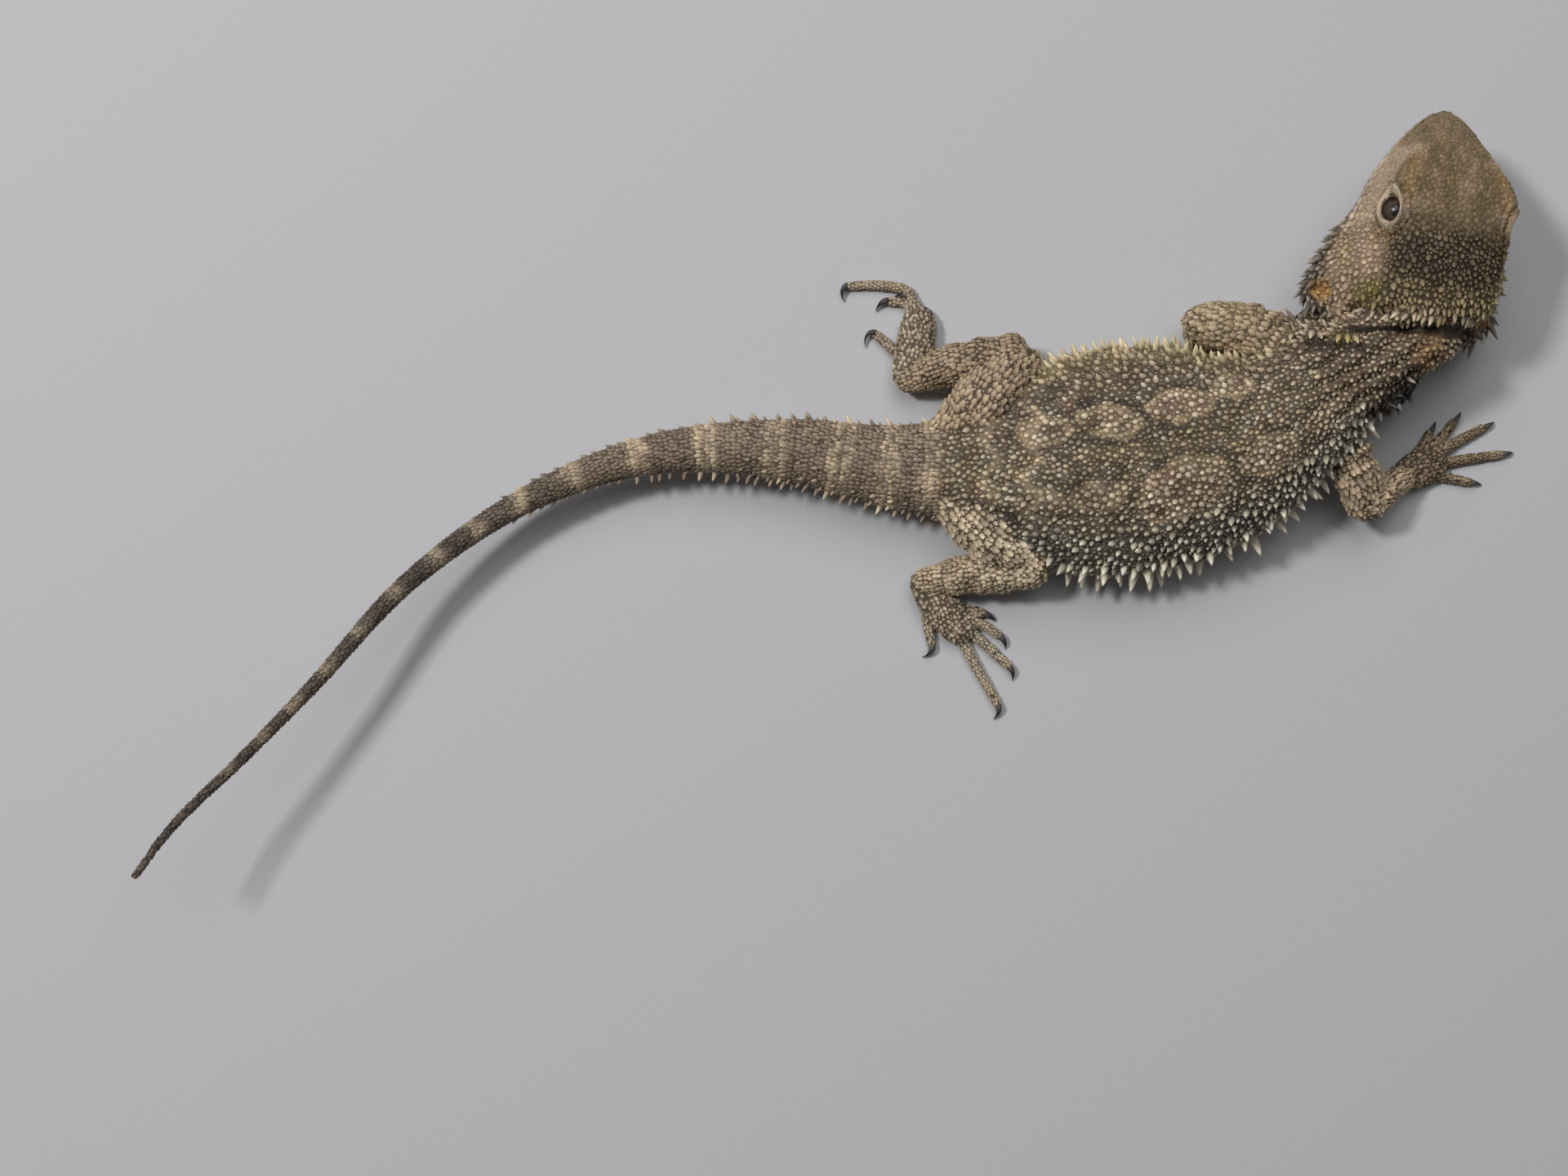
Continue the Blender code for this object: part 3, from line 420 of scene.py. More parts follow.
# %% Body and neck guides
BODY_SIDES, BODY_RINGS = 80, 300
NECK_SIDES, NECK_RINGS = 64, 24
NECK_AT_HEAD = (18.6, 13.4, 12.6)
NECK_WAIST = 0.16
NECK_REACH = 5.0
NECK_SHRINK = 0.9


def neck_rings(count):
    """The neck's sections: centre, rotation and sizes, turning from the shoulders to the head."""
    start_centre = body_middle(SHOULDER)
    ahead = (start_centre - body_middle(SHOULDER - AXIS_STEP)).normalized()
    left = UP.cross(ahead).normalized()
    start_turn = Matrix((ahead, left, ahead.cross(left))).transposed().to_quaternion()
    head_turn = HEAD_FRAME.to_quaternion()
    head_ahead = head_turn @ Vector((1, 0, 0))
    reach = (HEAD_BASE - start_centre).length / 3
    handles = (start_centre + ahead * reach, HEAD_BASE - head_ahead * reach)
    path = geometry.interpolate_bezier(start_centre, *handles, HEAD_BASE, count)
    rings = []
    for step, centre in enumerate(path):
        part = step / (count - 1)
        sizes = [slimmer(a + (b - a) * part) for a, b in zip(BODY_STATIONS[-1][3:6], NECK_AT_HEAD)]
        sizes[0] *= 1 - NECK_WAIST * math.sin(math.pi * part)
        rings.append((centre, start_turn.slerp(head_turn, part), sizes))
    first, last = rings[0], rings[-1]
    inner = (first[0] - ahead * NECK_REACH, first[1], [size * NECK_SHRINK for size in first[2]])
    outer = (last[0] + head_ahead * NECK_REACH, last[1], [size * NECK_SHRINK for size in last[2]])
    return [inner] + rings + [outer]


body_places = np.arange(0.0, SHOULDER + 0.01, SHOULDER / BODY_RINGS)
body = Guide([body_section(place, BODY_SIDES) for place in body_places], body_places)

neck_sections = []
for centre, turn, sizes in neck_rings(NECK_RINGS):
    offsets = superellipse(*sizes, NECK_SIDES)
    neck_sections.append([centre + turn @ Vector((0, across, height)) for across, height in offsets])
neck = Guide(neck_sections, lengths_along([as_rows(ring).mean(axis=0) for ring in neck_sections]))
print("body rings:", len(body.along), "neck length:", round(neck.along[-1], 1), "mm")

# %% [markdown]
# ## Limbs, hands and feet
#
# A limb is two tubes that bend at the elbow or knee. A hand or foot is a flat palm, given by points,
# radii and the height of its end, and five toes, each a row of points on the floor. The numbers are
# joints measured on the animal as it lies.

# %% Limb and foot guides
RIGHT_ARM_RADII = (8.0, 7.0, 6.4)
LEFT_ARM_RADII = (8.6, 7.8, 6.8)
FOREARM_RADII = (6.0, 5.4, 3.8)
THIGH_RADII = (8.6, 10.2, 7.6)
SHIN_RADII = (6.6, 6.3, 4.2)
LIMBS = {
    "upper_arm_right": (((155.0, 50.0, 17.0), (164.6, 36.0, 17.0), (170.0, 25.8, 13.0)), RIGHT_ARM_RADII),
    "forearm_right": (((169.8, 25.4, 12.6), (176.0, 28.4, 9.0), (183.0, 32.2, 5.6)), FOREARM_RADII),
    "upper_arm_left": (((148.0, 62.0, 21.0), (135.0, 74.0, 20.0), (122.6, 76.4, 15.5)), LEFT_ARM_RADII),
    "forearm_left": (((123.0, 76.0, 9.6), (135.0, 76.4, 7.4), (149.4, 76.8, 5.2)), FOREARM_RADII),
    "thigh_right": (((50.0, 27.0, 13.0), (60.5, 17.5, 13.5), (71.4, 9.6, 12.5)), THIGH_RADII),
    "shin_right": (((71.4, 6.4, 11.6), (57.0, 4.4, 9.0), (42.2, 2.2, 5.6)), SHIN_RADII),
    "thigh_left": (((50.0, 44.0, 13.0), (59.4, 54.6, 15.0), (67.2, 64.4, 14.0)), THIGH_RADII),
    "shin_left": (((66.0, 67.4, 13.6), (51.0, 65.6, 10.4), (37.0, 61.6, 6.4)), SHIN_RADII),
}
PALMS = {
    "hand_right": (((182.6, 32.6, 4.6), (187.0, 34.6, 3.2), (191.5, 36.8, 2.6)), (4.4, 5.6, 6.0), 2.6),
    "hand_left": (((149.4, 76.8, 4.6), (154.4, 77.0, 3.2), (159.2, 77.4, 2.6)), (4.4, 5.6, 6.0), 2.6),
    "foot_right": (((41.4, 1.2, 4.8), (45.4, -4.2, 3.6), (51.4, -11.4, 2.8)), (4.6, 6.0, 5.6), 2.8),
    "foot_left": (((36.4, 63.4, 5.4), (38.6, 70.0, 4.4), (39.8, 78.4, 3.4)), (4.8, 6.0, 5.4), 3.4),
}
TOES = {
    "hand_right": (
        ((188.0, 38.6), (190.8, 43.0), (192.4, 46.0)),
        ((191.0, 39.4), (196.0, 44.8), (199.4, 49.2)),
        ((192.5, 38.4), (201.0, 43.8), (208.2, 47.6)),
        ((193.0, 36.6), (203.6, 38.4), (213.4, 39.8)),
        ((191.0, 34.2), (198.0, 32.8), (204.0, 31.6)),
    ),
    "hand_left": (
        ((157.0, 74.2), (160.4, 71.2), (163.2, 69.4)),
        ((159.2, 75.2), (166.0, 73.2), (171.6, 72.2)),
        ((160.2, 77.2), (169.0, 77.8), (176.4, 78.8)),
        ((159.6, 79.2), (167.8, 82.4), (174.8, 85.4)),
        ((157.6, 80.6), (162.0, 84.6), (165.4, 87.4)),
    ),
    "foot_right": (
        ((51.0, -6.6), (55.2, -6.4), (59.0, -7.4)),
        ((52.4, -8.4), (58.8, -10.8), (63.8, -14.0)),
        ((52.6, -10.6), (59.8, -16.8), (66.6, -23.0)),
        ((51.0, -12.0), (56.6, -22.4), (63.4, -34.4)),
        ((42.6, -3.0), (42.6, -10.0), (44.0, -16.6)),
    ),
    "foot_left": (
        ((42.6, 73.0), (44.0, 77.0), (43.6, 80.4)),
        ((40.4, 78.0), (40.2, 83.0), (37.4, 86.0)),
        ((38.6, 79.0), (36.6, 84.6), (31.4, 85.4)),
        ((39.8, 80.0), (36.6, 88.4), (28.4, 90.2), (19.4, 90.0)),
        ((36.6, 66.6), (31.0, 72.4), (27.4, 75.6)),
    ),
}
TOE_RADIUS, TOE_TIP_RADIUS = 2.0, 1.5
TOE_LIFT = 0.75
LIMB_SIDES, PALM_SIDES, TOE_SIDES = 48, 36, 20
LIMB_SPACING, TOE_SPACING, POUCH_SPACING = 1.2, 1.0, 1.5
POUCH_POINTS = ((187.0, 77.0, 14.5), (180.5, 67.0, 13.0), (175.0, 57.5, 12.0))
POUCH_RADII = (7.0, 7.6, 6.6)


def toe_guide(path):
    radii = np.linspace(TOE_RADIUS, TOE_TIP_RADIUS, len(path))
    points = [(x, y, radius * TOE_LIFT) for (x, y), radius in zip(path, radii)]
    return tube(points, radii, TOE_SIDES, TOE_SPACING, end_angles=TOE_END)


def palm_guide(points, radii, height):
    return tube(points, radii, PALM_SIDES, TOE_SPACING, height / radii[-1], TOE_END)


limbs = {name: tube(*joints, LIMB_SIDES, LIMB_SPACING) for name, joints in LIMBS.items()}
palms = [palm_guide(*palm) for palm in PALMS.values()]
toes = [toe_guide(path) for paths in TOES.values() for path in paths]
pouch = tube(POUCH_POINTS, POUCH_RADII, PALM_SIDES, POUCH_SPACING)
print("limb tubes:", len(limbs), "toes:", len(toes))

# %% [markdown]
# ## One skin
#
# Real skin has no seam where a leg meets the body. Booleans would leave a hard crease at each join,
# so the closed forms are put in one mesh and remeshed by voxels instead, which keeps only the outer
# surface, and a little smoothing rounds the joins as flesh does.

# %% Melt the forms into one surface
HEAD_RINGS = np.concatenate([[0.0, 0.5, 1.2, 2.4], np.arange(4.0, 57.1, 1.25)])
BEARD_RINGS = np.concatenate([[0.0, 0.5, 1.2, 2.4], np.arange(4.0, 63.6, 1.25)])
NAPE_CAP = ((58.2, 0.95), (59.2, 0.85), (59.9, 0.68))
BEARD_CAP = ((64.4, 0.9), (65.2, 0.75), (65.8, 0.5))
LID_RADIUS = 5.7
SEAM = 0.0001
VOXEL = 0.0005
SKIN_TRIANGLES = 176000
SOFTENING, SOFT_ROUNDS = 0.5, 6


def loft(bm, sections):
    """Add a closed form that runs through the sections: a grid rolled into a tube, with capped ends."""
    sides = len(sections[0])
    form = bmesh.new()
    grid = bmesh.ops.create_grid(form, x_segments=sides, y_segments=len(sections) - 1, size=1.0)
    for index, vert in enumerate(grid["verts"]):
        ring, side = divmod(index, sides + 1)
        vert.co = sections[ring][side % sides]
    bmesh.ops.remove_doubles(form, verts=form.verts, dist=SEAM)
    bmesh.ops.holes_fill(form, edges=form.edges, sides=0)
    bmesh.ops.recalc_face_normals(form, faces=form.faces)
    mesh = bpy.data.meshes.new("form")
    form.to_mesh(mesh)
    form.free()
    bm.from_mesh(mesh)
    bpy.data.meshes.remove(mesh)


def shrunk(section, u, size):
    """A section drawn in towards its middle and moved back, to round off an end."""
    middle = sum(section, Vector()) / len(section)
    back = HEAD_FRAME.to_3x3() @ Vector((-u, 0, 0))
    return [middle + (point - middle) * size + back for point in section]


def add_object(name, data):
    obj = bpy.data.objects.new(name, data)
    bpy.context.scene.collection.objects.link(obj)
    return obj


def put_in_place(bm, name):
    """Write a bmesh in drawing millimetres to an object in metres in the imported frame."""
    bmesh.ops.translate(bm, vec=SHIFT, verts=bm.verts)
    bmesh.ops.scale(bm, vec=(MM, MM, MM), verts=bm.verts)
    mesh = bpy.data.meshes.new(name)
    bm.to_mesh(mesh)
    bm.free()
    return add_object(name, mesh)


def modify(obj, kind, **settings):
    """Give an object one modifier and apply it."""
    modifier = obj.modifiers.new(kind.lower(), kind)
    for name, value in settings.items():
        setattr(modifier, name, value)
    graph = bpy.context.evaluated_depsgraph_get()
    mesh = bpy.data.meshes.new_from_object(obj.evaluated_get(graph))
    obj.modifiers.clear()
    obj.data = mesh


flesh = bmesh.new()
crown_rings = [crown_section(u) for u in HEAD_RINGS]
jaw_rings = [jaw_section(u) for u in BEARD_RINGS]
crown_rings += [shrunk(crown_rings[-1], u - HEAD_RINGS[-1], size) for u, size in NAPE_CAP]
jaw_rings += [shrunk(jaw_rings[-1], u - BEARD_RINGS[-1], size) for u, size in BEARD_CAP]
loft(flesh, crown_rings)
loft(flesh, jaw_rings)
for guide in (body, neck, pouch, *limbs.values(), *palms, *toes):
    loft(flesh, guide.rings)
for side in (1, -1):
    place = Matrix.Translation(eye_middle(side))
    bmesh.ops.create_uvsphere(flesh, u_segments=32, v_segments=20, radius=LID_RADIUS, matrix=place)
skin = put_in_place(flesh, "skin")
modify(skin, "REMESH", mode="VOXEL", voxel_size=VOXEL)
modify(skin, "SMOOTH", factor=SOFTENING, iterations=SOFT_ROUNDS)
print("melted skin:", len(skin.data.vertices), "points")

# %% [markdown]
# ## Folds, lips, nostrils and ears
#
# The sections give the head's masses, but not what a finger would feel on it: the groove of the
# mouth, the rim of a nostril, the ridge over the eye. Each is a small push of the skin along its own
# normal, written as a soft bump in the head's frame, so that it can be moved by one number.

# %% Soft shapes for pushes and colours
WAVES = 9
WAVE_SPREAD = (0.7, 1.5)
WAVE_GAIN = 1.8


def fade(low, high, value):
    """0 before low, 1 past high and smooth between. Low may be the larger of the two."""
    share = np.clip((np.asarray(value) - low) / (high - low), 0, 1)
    return share * share * (3 - 2 * share)


def bump(value, middle, width):
    """1 at the middle, and near 0 two widths away from it."""
    return np.exp(-(((np.asarray(value) - middle) / width) ** 2))


def mottle(points, size, seed):
    """Soft blotches of about the given size, from -1 to 1: waves summed in random directions."""
    draw = np.random.default_rng(seed)
    total = np.zeros(len(points))
    for _ in range(WAVES):
        way = draw.normal(size=3)
        way /= np.linalg.norm(way)
        length = size * draw.uniform(*WAVE_SPREAD)
        total += np.sin(points @ way * (math.tau / length) + draw.uniform(0, math.tau))
    return np.clip(total * WAVE_GAIN / WAVES, -1, 1)


# %% The eyes' own frames
EYE_RADIUS = 4.4
LOOK_UP = math.radians(40.0)
SLIT_SIZE = (4.05, 2.85)
SLIT_FRONT, SLIT_REAR = 1.5, 0.95
SLIT_REACH = 1.16
LIDS_END = 9.5
NOT_NEAR = 9.0


def eye_axes(side):
    """The eye's middle and its three axes: forward along the head, up the lids and outward."""
    turn = HEAD_FRAME.to_3x3()
    forward = turn @ Vector((1, 0, 0))
    outward = turn @ Vector((0, side * math.cos(LOOK_UP), math.sin(LOOK_UP)))
    upward = turn @ Vector((0, -side * math.sin(LOOK_UP), math.cos(LOOK_UP)))
    return eye_middle(side), forward, upward, outward


def lid_reach(points):
    """How far each point lies from the middle of the nearer eye's slit: 1 is on its edge."""
    reach = np.full(len(points), NOT_NEAR)
    for side in (1, -1):
        middle, forward, upward, outward = as_rows(eye_axes(side))
        away = points - middle
        ahead, up = away @ forward, away @ upward
        ahead = np.where(ahead > 0, ahead / SLIT_REACH, ahead)
        size = np.hypot(ahead / SLIT_SIZE[0], up / SLIT_SIZE[1])
        here = (away @ outward > 0) & (np.linalg.norm(away, axis=1) < LIDS_END)
        reach = np.where(here, np.minimum(reach, size), reach)
    return reach


# %% Sculpt the skin
NOSTRIL_PLACE = (6.6, 4.9)
NOSTRIL_SIDE = 4
EAR_PLACE = (55.0, 25.6, -2.2)
EAR_RADIUS = 2.3
EARS = [in_head(EAR_PLACE[0], BEARD_SAG + way * EAR_PLACE[1], EAR_PLACE[2]) for way in (1, -1)]
MOUTH_CORNER = 39.0
LID_GROOVE_FOOT = 2
NECK_START = body_middle(SHOULDER)
NECK_WAY = (HEAD_BASE - NECK_START).normalized()
NECK_SIDE = UP.cross(NECK_WAY).normalized()
NAPE_GAP = 3.2
NAPE_SLANT = 0.14
FACE_MASSES = (
    (-0.6, (19, 5), (6.5, 2.6), (6, 10)),
    (0.8, (42, 6), (3.0, 3.0), (12, 16)),
    (-0.5, (42, 4), (10.5, 2.5), (12, 15)),
)


def read_points(mesh):
    points = np.empty(len(mesh.vertices) * 3, np.float32)
    mesh.vertices.foreach_get("co", points)
    return points.reshape(-1, 3).astype(float) / MM - np.array(SHIFT)


def read_normals(mesh):
    normals = np.empty(len(mesh.vertices) * 3, np.float32)
    mesh.vertex_normals.foreach_get("vector", normals)
    return normals.reshape(-1, 3).astype(float)


def ear_reach(points):
    """The distance from the middle of the nearer ear, as a share of its radius."""
    away = [np.linalg.norm(points - np.array(ear), axis=1) for ear in EARS]
    return np.minimum(*away) / EAR_RADIUS


def head_push(points):
    """How far out, in millimetres, the features of the head lie from the plain form."""
    u, left, height = head_places(points)
    side = np.abs(left)
    near = (u > -3) & (u < 64) & (side < 38) & (height > -15) & (height < 24)
    mouth = fade(MOUTH_CORNER + 2, MOUTH_CORNER - 2, u)
    push = -0.85 * bump(height, 0.0, 0.5) * mouth
    push += (0.35 * bump(height, 1.6, 0.9) + 0.25 * bump(height, -1.6, 0.9)) * mouth
    nostril = np.hypot(u - NOSTRIL_PLACE[0], height - NOSTRIL_PLACE[1])
    push += (0.45 * bump(nostril, 1.55, 0.55) - 1.5 * bump(nostril, 0, 0.85)) * (side > NOSTRIL_SIDE)
    ear = ear_reach(points)
    push += 0.5 * bump(ear, 1.3, 0.22) - 0.7 * fade(1.15, 0.75, ear)
    values = hermite(CROWN_STATIONS, CROWN_LENGTHS, np.linspace(0, HEAD_LENGTH, 60))
    brow, brow_height = [np.interp(u, values[:, 0], values[:, column]) for column in (2, 3)]
    ridge = np.hypot(side - brow, height - brow_height)
    push += 0.55 * bump(ridge, 0, 1.5) * fade(5, 12, u) * fade(46, 38, u)
    push += 0.5 * bump(ridge, 0, 2.2) * bump(u, 30, 7)
    for depth, back, up, out in FACE_MASSES:
        push += depth * bump(u, *back) * bump(height, *up) * fade(*out, side)
    push -= 0.4 * bump(side, 0, 3.0) * bump(u, 24, 8) * fade(8, 12, height)
    lids = lid_reach(points)
    push += 0.4 * bump(lids, 1.22, 0.15) - 0.55 * bump(lids, 1.56, 0.12) * (height > LID_GROOVE_FOOT)
    push += 0.3 * bump(lids, 1.84, 0.15) - 0.3 * bump(lids, 2.1, 0.12)
    return push * near


def nape_gap(points):
    """How much each point lies in the groove between head and neck, which is wider on the right."""
    u, left, height = head_places(points)
    groove = bump(u, 63.0 + NAPE_SLANT * left, np.clip(2.0 - 0.06 * left, 1.0, 3.0))
    return groove * fade(0, 5, height) * fade(25, 19, np.abs(left))


def fold_push(points):
    """Folds across the neck and soft wrinkles over the trunk, in millimetres."""
    from_start = points - np.array(NECK_START)
    along = from_start @ np.array(NECK_WAY)
    beside = np.linalg.norm(from_start - along[:, None] * np.array(NECK_WAY), axis=1)
    on_neck = fade(-14, -4, along) * fade(36, 28, along) * fade(34, 26, beside)
    waver = mottle(points, 24, 3)
    push = 0.35 * on_neck * np.sin((along + 2.5 * waver) * math.tau / 6.5)
    across = from_start @ np.array(NECK_SIDE)
    push += 0.75 * on_neck * np.sin((across + 2.0 * waver) * math.tau / 5.2)
    trunk = fade(20, 60, points[:, 0]) * fade(5, 9, points[:, 2]) * (1 - on_neck)
    push += trunk * (0.7 * mottle(points, 10, 5) + 0.35 * mottle(points, 4.5, 6))
    waves = np.sin((points[:, 0] + 2.5 * mottle(points, 18, 7)) * math.tau / 8.0)
    push += 0.4 * waves * bump(points[:, 0], 58, 15) * fade(5, 12, points[:, 2])
    return push - NAPE_GAP * nape_gap(points)


points = read_points(skin.data)
on_head = fade(60, 54, head_places(points)[0]) * (points[:, 1] > 70)
push = head_push(points) + fold_push(points) * (1 - on_head)
points += read_normals(skin.data) * push[:, None]
points[:, 2] = np.maximum(points[:, 2], COAT * 0.8)
placed = ((points + np.array(SHIFT)) * MM).astype(np.float32)
skin.data.vertices.foreach_set("co", placed.ravel())
skin.data.update()
modify(skin, "DECIMATE", ratio=SKIN_TRIANGLES / (2 * len(skin.data.polygons)))
print("push from", round(push.min(), 2), "to", round(push.max(), 2), "mm")
print("skin triangles:", len(skin.data.polygons))

# %% [markdown]
# ## Eye openings
#
# The lids are a mound of skin over each eyeball with an almond slit in it. A Boolean gives the slit
# the crisp edge that a voxel surface can't hold: one cutter is the socket, the other the slit.

# %% Cut the sockets and the slits
SOCKET_GAP = 0.22
SLIT_DEPTHS = ((0.3, 0.4), (1.0, 1.0), (2.0, 1.6))
SLIT_POINTS = 40


def slit_point(turn, size):
    """A point of the almond between the lids, forward and up, at a turn from 0 to 1."""
    angle = math.tau * turn
    ahead, up = math.cos(angle), math.sin(angle)
    pinch = abs(up) ** (SLIT_FRONT if ahead > 0 else SLIT_REAR)
    reach = SLIT_SIZE[0] * (SLIT_REACH if ahead > 0 else 1.0)
    return reach * size * ahead, math.copysign(SLIT_SIZE[1] * size * pinch, up)


cutters = bpy.data.collections.new("eye_cutters")
for side in (1, -1):
    middle, forward, upward, outward = eye_axes(side)
    socket = bmesh.new()
    place = Matrix.Translation(middle)
    radius = EYE_RADIUS + SOCKET_GAP
    bmesh.ops.create_uvsphere(socket, u_segments=48, v_segments=32, radius=radius, matrix=place)
    cutters.objects.link(put_in_place(socket, "socket"))
    sections = []
    for depth, size in SLIT_DEPTHS:
        base = middle + outward * depth * EYE_RADIUS
        ring = [slit_point(step / SLIT_POINTS, size) for step in range(SLIT_POINTS)]
        sections.append([base + forward * x + upward * z for x, z in ring])
    slit = bmesh.new()
    loft(slit, sections)
    cutters.objects.link(put_in_place(slit, "slit"))
joined = {"operand_type": "COLLECTION", "collection": cutters}
modify(skin, "BOOLEAN", operation="DIFFERENCE", solver="MANIFOLD", **joined)
for cutter in list(cutters.objects):
    bpy.data.objects.remove(cutter, do_unlink=True)
bpy.data.collections.remove(cutters)
skin.data.shade_smooth()
print("skin with open lids:", len(skin.data.polygons), "faces")

# %% [markdown]
# ## Where each point of the skin belongs
#
# Colours and scales both need to know which part of the animal a point of the skin is on, how far
# along that part and how far round it. The guides know. A search tree over all of them gives the
# nearest guide face for any point, and with it the part, the length and the turn.

# %% An atlas of the guides
crown = Guide(crown_rings, [*HEAD_RINGS, *(u for u, _ in NAPE_CAP)])
jaw = Guide(jaw_rings, [*BEARD_RINGS, *(u for u, _ in BEARD_CAP)])
PARTS = [("body", body), ("neck", neck), ("crown", crown), ("jaw", jaw), ("pouch", pouch)]
PARTS += [("limb", guide) for guide in limbs.values()]
PARTS += [("palm", guide) for guide in palms]
PARTS += [("toe", guide) for guide in toes]
PART_KINDS = [kind for kind, _ in PARTS]
TOWARDS_START = ("body", "neck")


def make_atlas():
    """A tree over the faces of every guide, and for each face its part, length, turn and lie."""
    corners, quads, owners, lies = [], [], [], []
    for number, (kind, guide) in enumerate(PARTS):
        rings, sides = guide.rings.shape[:2]
        first = len(corners)
        corners.extend(guide.rings.reshape(-1, 3).tolist())
        sense = -1 if kind in TOWARDS_START else 1
        for ring in range(rings - 1):
            steps = (guide.rings[ring + 1] - guide.rings[ring]) * sense
            for side in range(sides):
                after = (side + 1) % sides
                near, far = first + ring * sides, first + (ring + 1) * sides
                quads.append((near + side, near + after, far + after, far + side))
                length = (guide.along[ring] + guide.along[ring + 1]) / 2
                owners.append((number, length, (side + 0.5) / sides))
                lies.append(steps[side] + steps[after] + 1e-6)
    return BVHTree.FromPolygons(corners, quads), np.array(owners), np.array(lies)


atlas, atlas_owners, atlas_lies = make_atlas()


def owners_of(points):
    """The part number, the length along it, the turn round it and the way scales lie there."""
    found = [atlas.find_nearest(point)[2] for point in points.tolist()]
    owners = atlas_owners[found]
    return owners[:, 0].astype(int), owners[:, 1], owners[:, 2], atlas_lies[found]


skin_points = read_points(skin.data)
skin_parts, skin_lengths, skin_turns, _ = owners_of(skin_points)
for kind in sorted(set(PART_KINDS)):
    print("skin points on", kind, int((np.array(PART_KINDS)[skin_parts] == kind).sum()))

# %% [markdown]
# ## Markings
#
# The colours change over the animal in a lawful way: pale bands on the tail, pale-rimmed ovals in two
# rows on a grey-brown back, near-black skin between ivory cones on the flanks, tan legs and an olive
# crown. One function for each part gives two colours at any point, a dark one for the skin and the
# root of a scale and a pale one for its tip, so that skin and scales always agree.

# %% The palette
def tint(red, green, blue):
    """A colour as the eye names it, from 0 to 255, as the linear values that a shader takes."""
    return ((np.array((red, green, blue)) / 255 + 0.055) / 1.055) ** 2.4


def blend(colour, other, share):
    """Each row of colour drawn towards the other by its share."""
    share = np.asarray(share, float)[:, None]
    return colour * (1 - share) + np.asarray(other) * share


def layered(points, base, layers):
    """A dark and a pale colour for each point: a base with further pairs laid over it in turn."""
    rows = [np.tile(colour, (len(points), 1)) for colour in base]
    for colours, share in layers:
        rows = [blend(row, colour, share) for row, colour in zip(rows, colours)]
    return rows


def shaded(rows, shade):
    return [row * shade[:, None] for row in rows]


def patch(first, second, middle, size, strength):
    """A soft oval patch: its strength at the middle, and near 0 two sizes away."""
    reach = np.hypot((first - middle[0]) / size[0], (second - middle[1]) / size[1])
    return strength * bump(reach, 0, 1)


def turned_from(turn, middle):
    """How far round a part, from -0.5 to 0.5, a turn lies from another one."""
    return np.mod(turn - middle + 0.5, 1) - 0.5


BACK = (tint(64, 50, 37), tint(216, 196, 167))
OLIVE = (tint(80, 67, 45), tint(204, 185, 144))
RUST = (tint(96, 64, 46), tint(216, 186, 156))
FLANK = (tint(27, 21, 16), tint(255, 244, 220))
LEFT_FLANK = (tint(104, 88, 62), tint(222, 206, 162))
BELLY = (tint(150, 136, 117), tint(200, 185, 164))
TAIL = (tint(78, 64, 52), tint(180, 160, 137))
TAIL_TIP = (tint(42, 35, 31), tint(116, 101, 89))
BAND = (tint(170, 150, 121), tint(236, 216, 183))
LIMB = (tint(72, 56, 40), tint(226, 201, 167))
THIGH = (tint(92, 70, 49), tint(255, 236, 200))
HAND = (tint(56, 43, 33), tint(164, 143, 114))
CROWN = (tint(100, 84, 58), tint(160, 137, 102))
SNOUT = (tint(110, 93, 70), tint(154, 134, 104))
CHEEK = (tint(150, 129, 106), tint(206, 184, 157))
OCHRE = (tint(150, 116, 68), tint(190, 156, 104))
NAPE_DARK = (tint(42, 33, 23), tint(132, 114, 89))
NAPE = (tint(74, 61, 43), tint(178, 158, 115))
BEARD = (tint(60, 53, 48), tint(186, 174, 154))
FOOT = (tint(84, 69, 53), tint(216, 198, 172))
CHIN = (tint(134, 122, 110), tint(190, 177, 164))
OVAL_RIM = (tint(192, 168, 128), tint(236, 216, 178))
OVAL_MIDDLE = (tint(114, 86, 63), tint(255, 238, 208))
# painted shadow: the colour of the groove between head and neck, where the head would shade it
NAPE_GROOVE_SHADOW = (tint(50, 41, 35), tint(84, 71, 60))
# painted shade for the groove round the lids and the front corner of each eye
LID_GROOVE_SHADE = (tint(76, 62, 50), tint(100, 84, 68))
POUCH = (tint(20, 17, 17), tint(210, 200, 186))
THROAT = (tint(18, 15, 15), tint(78, 72, 68))
ARM_TOP = (tint(112, 97, 70), tint(200, 180, 142))
TEMPLE_PINK = (tint(160, 132, 108), tint(204, 176, 150))
MOSS = (tint(128, 118, 56), tint(198, 184, 98))
EARDRUM = (tint(160, 118, 72), tint(184, 142, 92))
LIDS = (tint(208, 190, 162), tint(220, 202, 174))
# painted shade for the mouth line and the inside of the nostrils
MOUTH_LINE_SHADE = (tint(44, 37, 33), tint(60, 51, 45))
NOSTRIL_SHADE = (tint(52, 35, 29), tint(60, 41, 33))

# %% [markdown]
# The back is seen from above, so its ovals are placed in plan: a middle, a half length, a half width,
# a turn and a strength. The tail's bands are given by their distance from its tip. Near the base each
# is a pair of thin wavy lines, and farther out the pair melts into one.

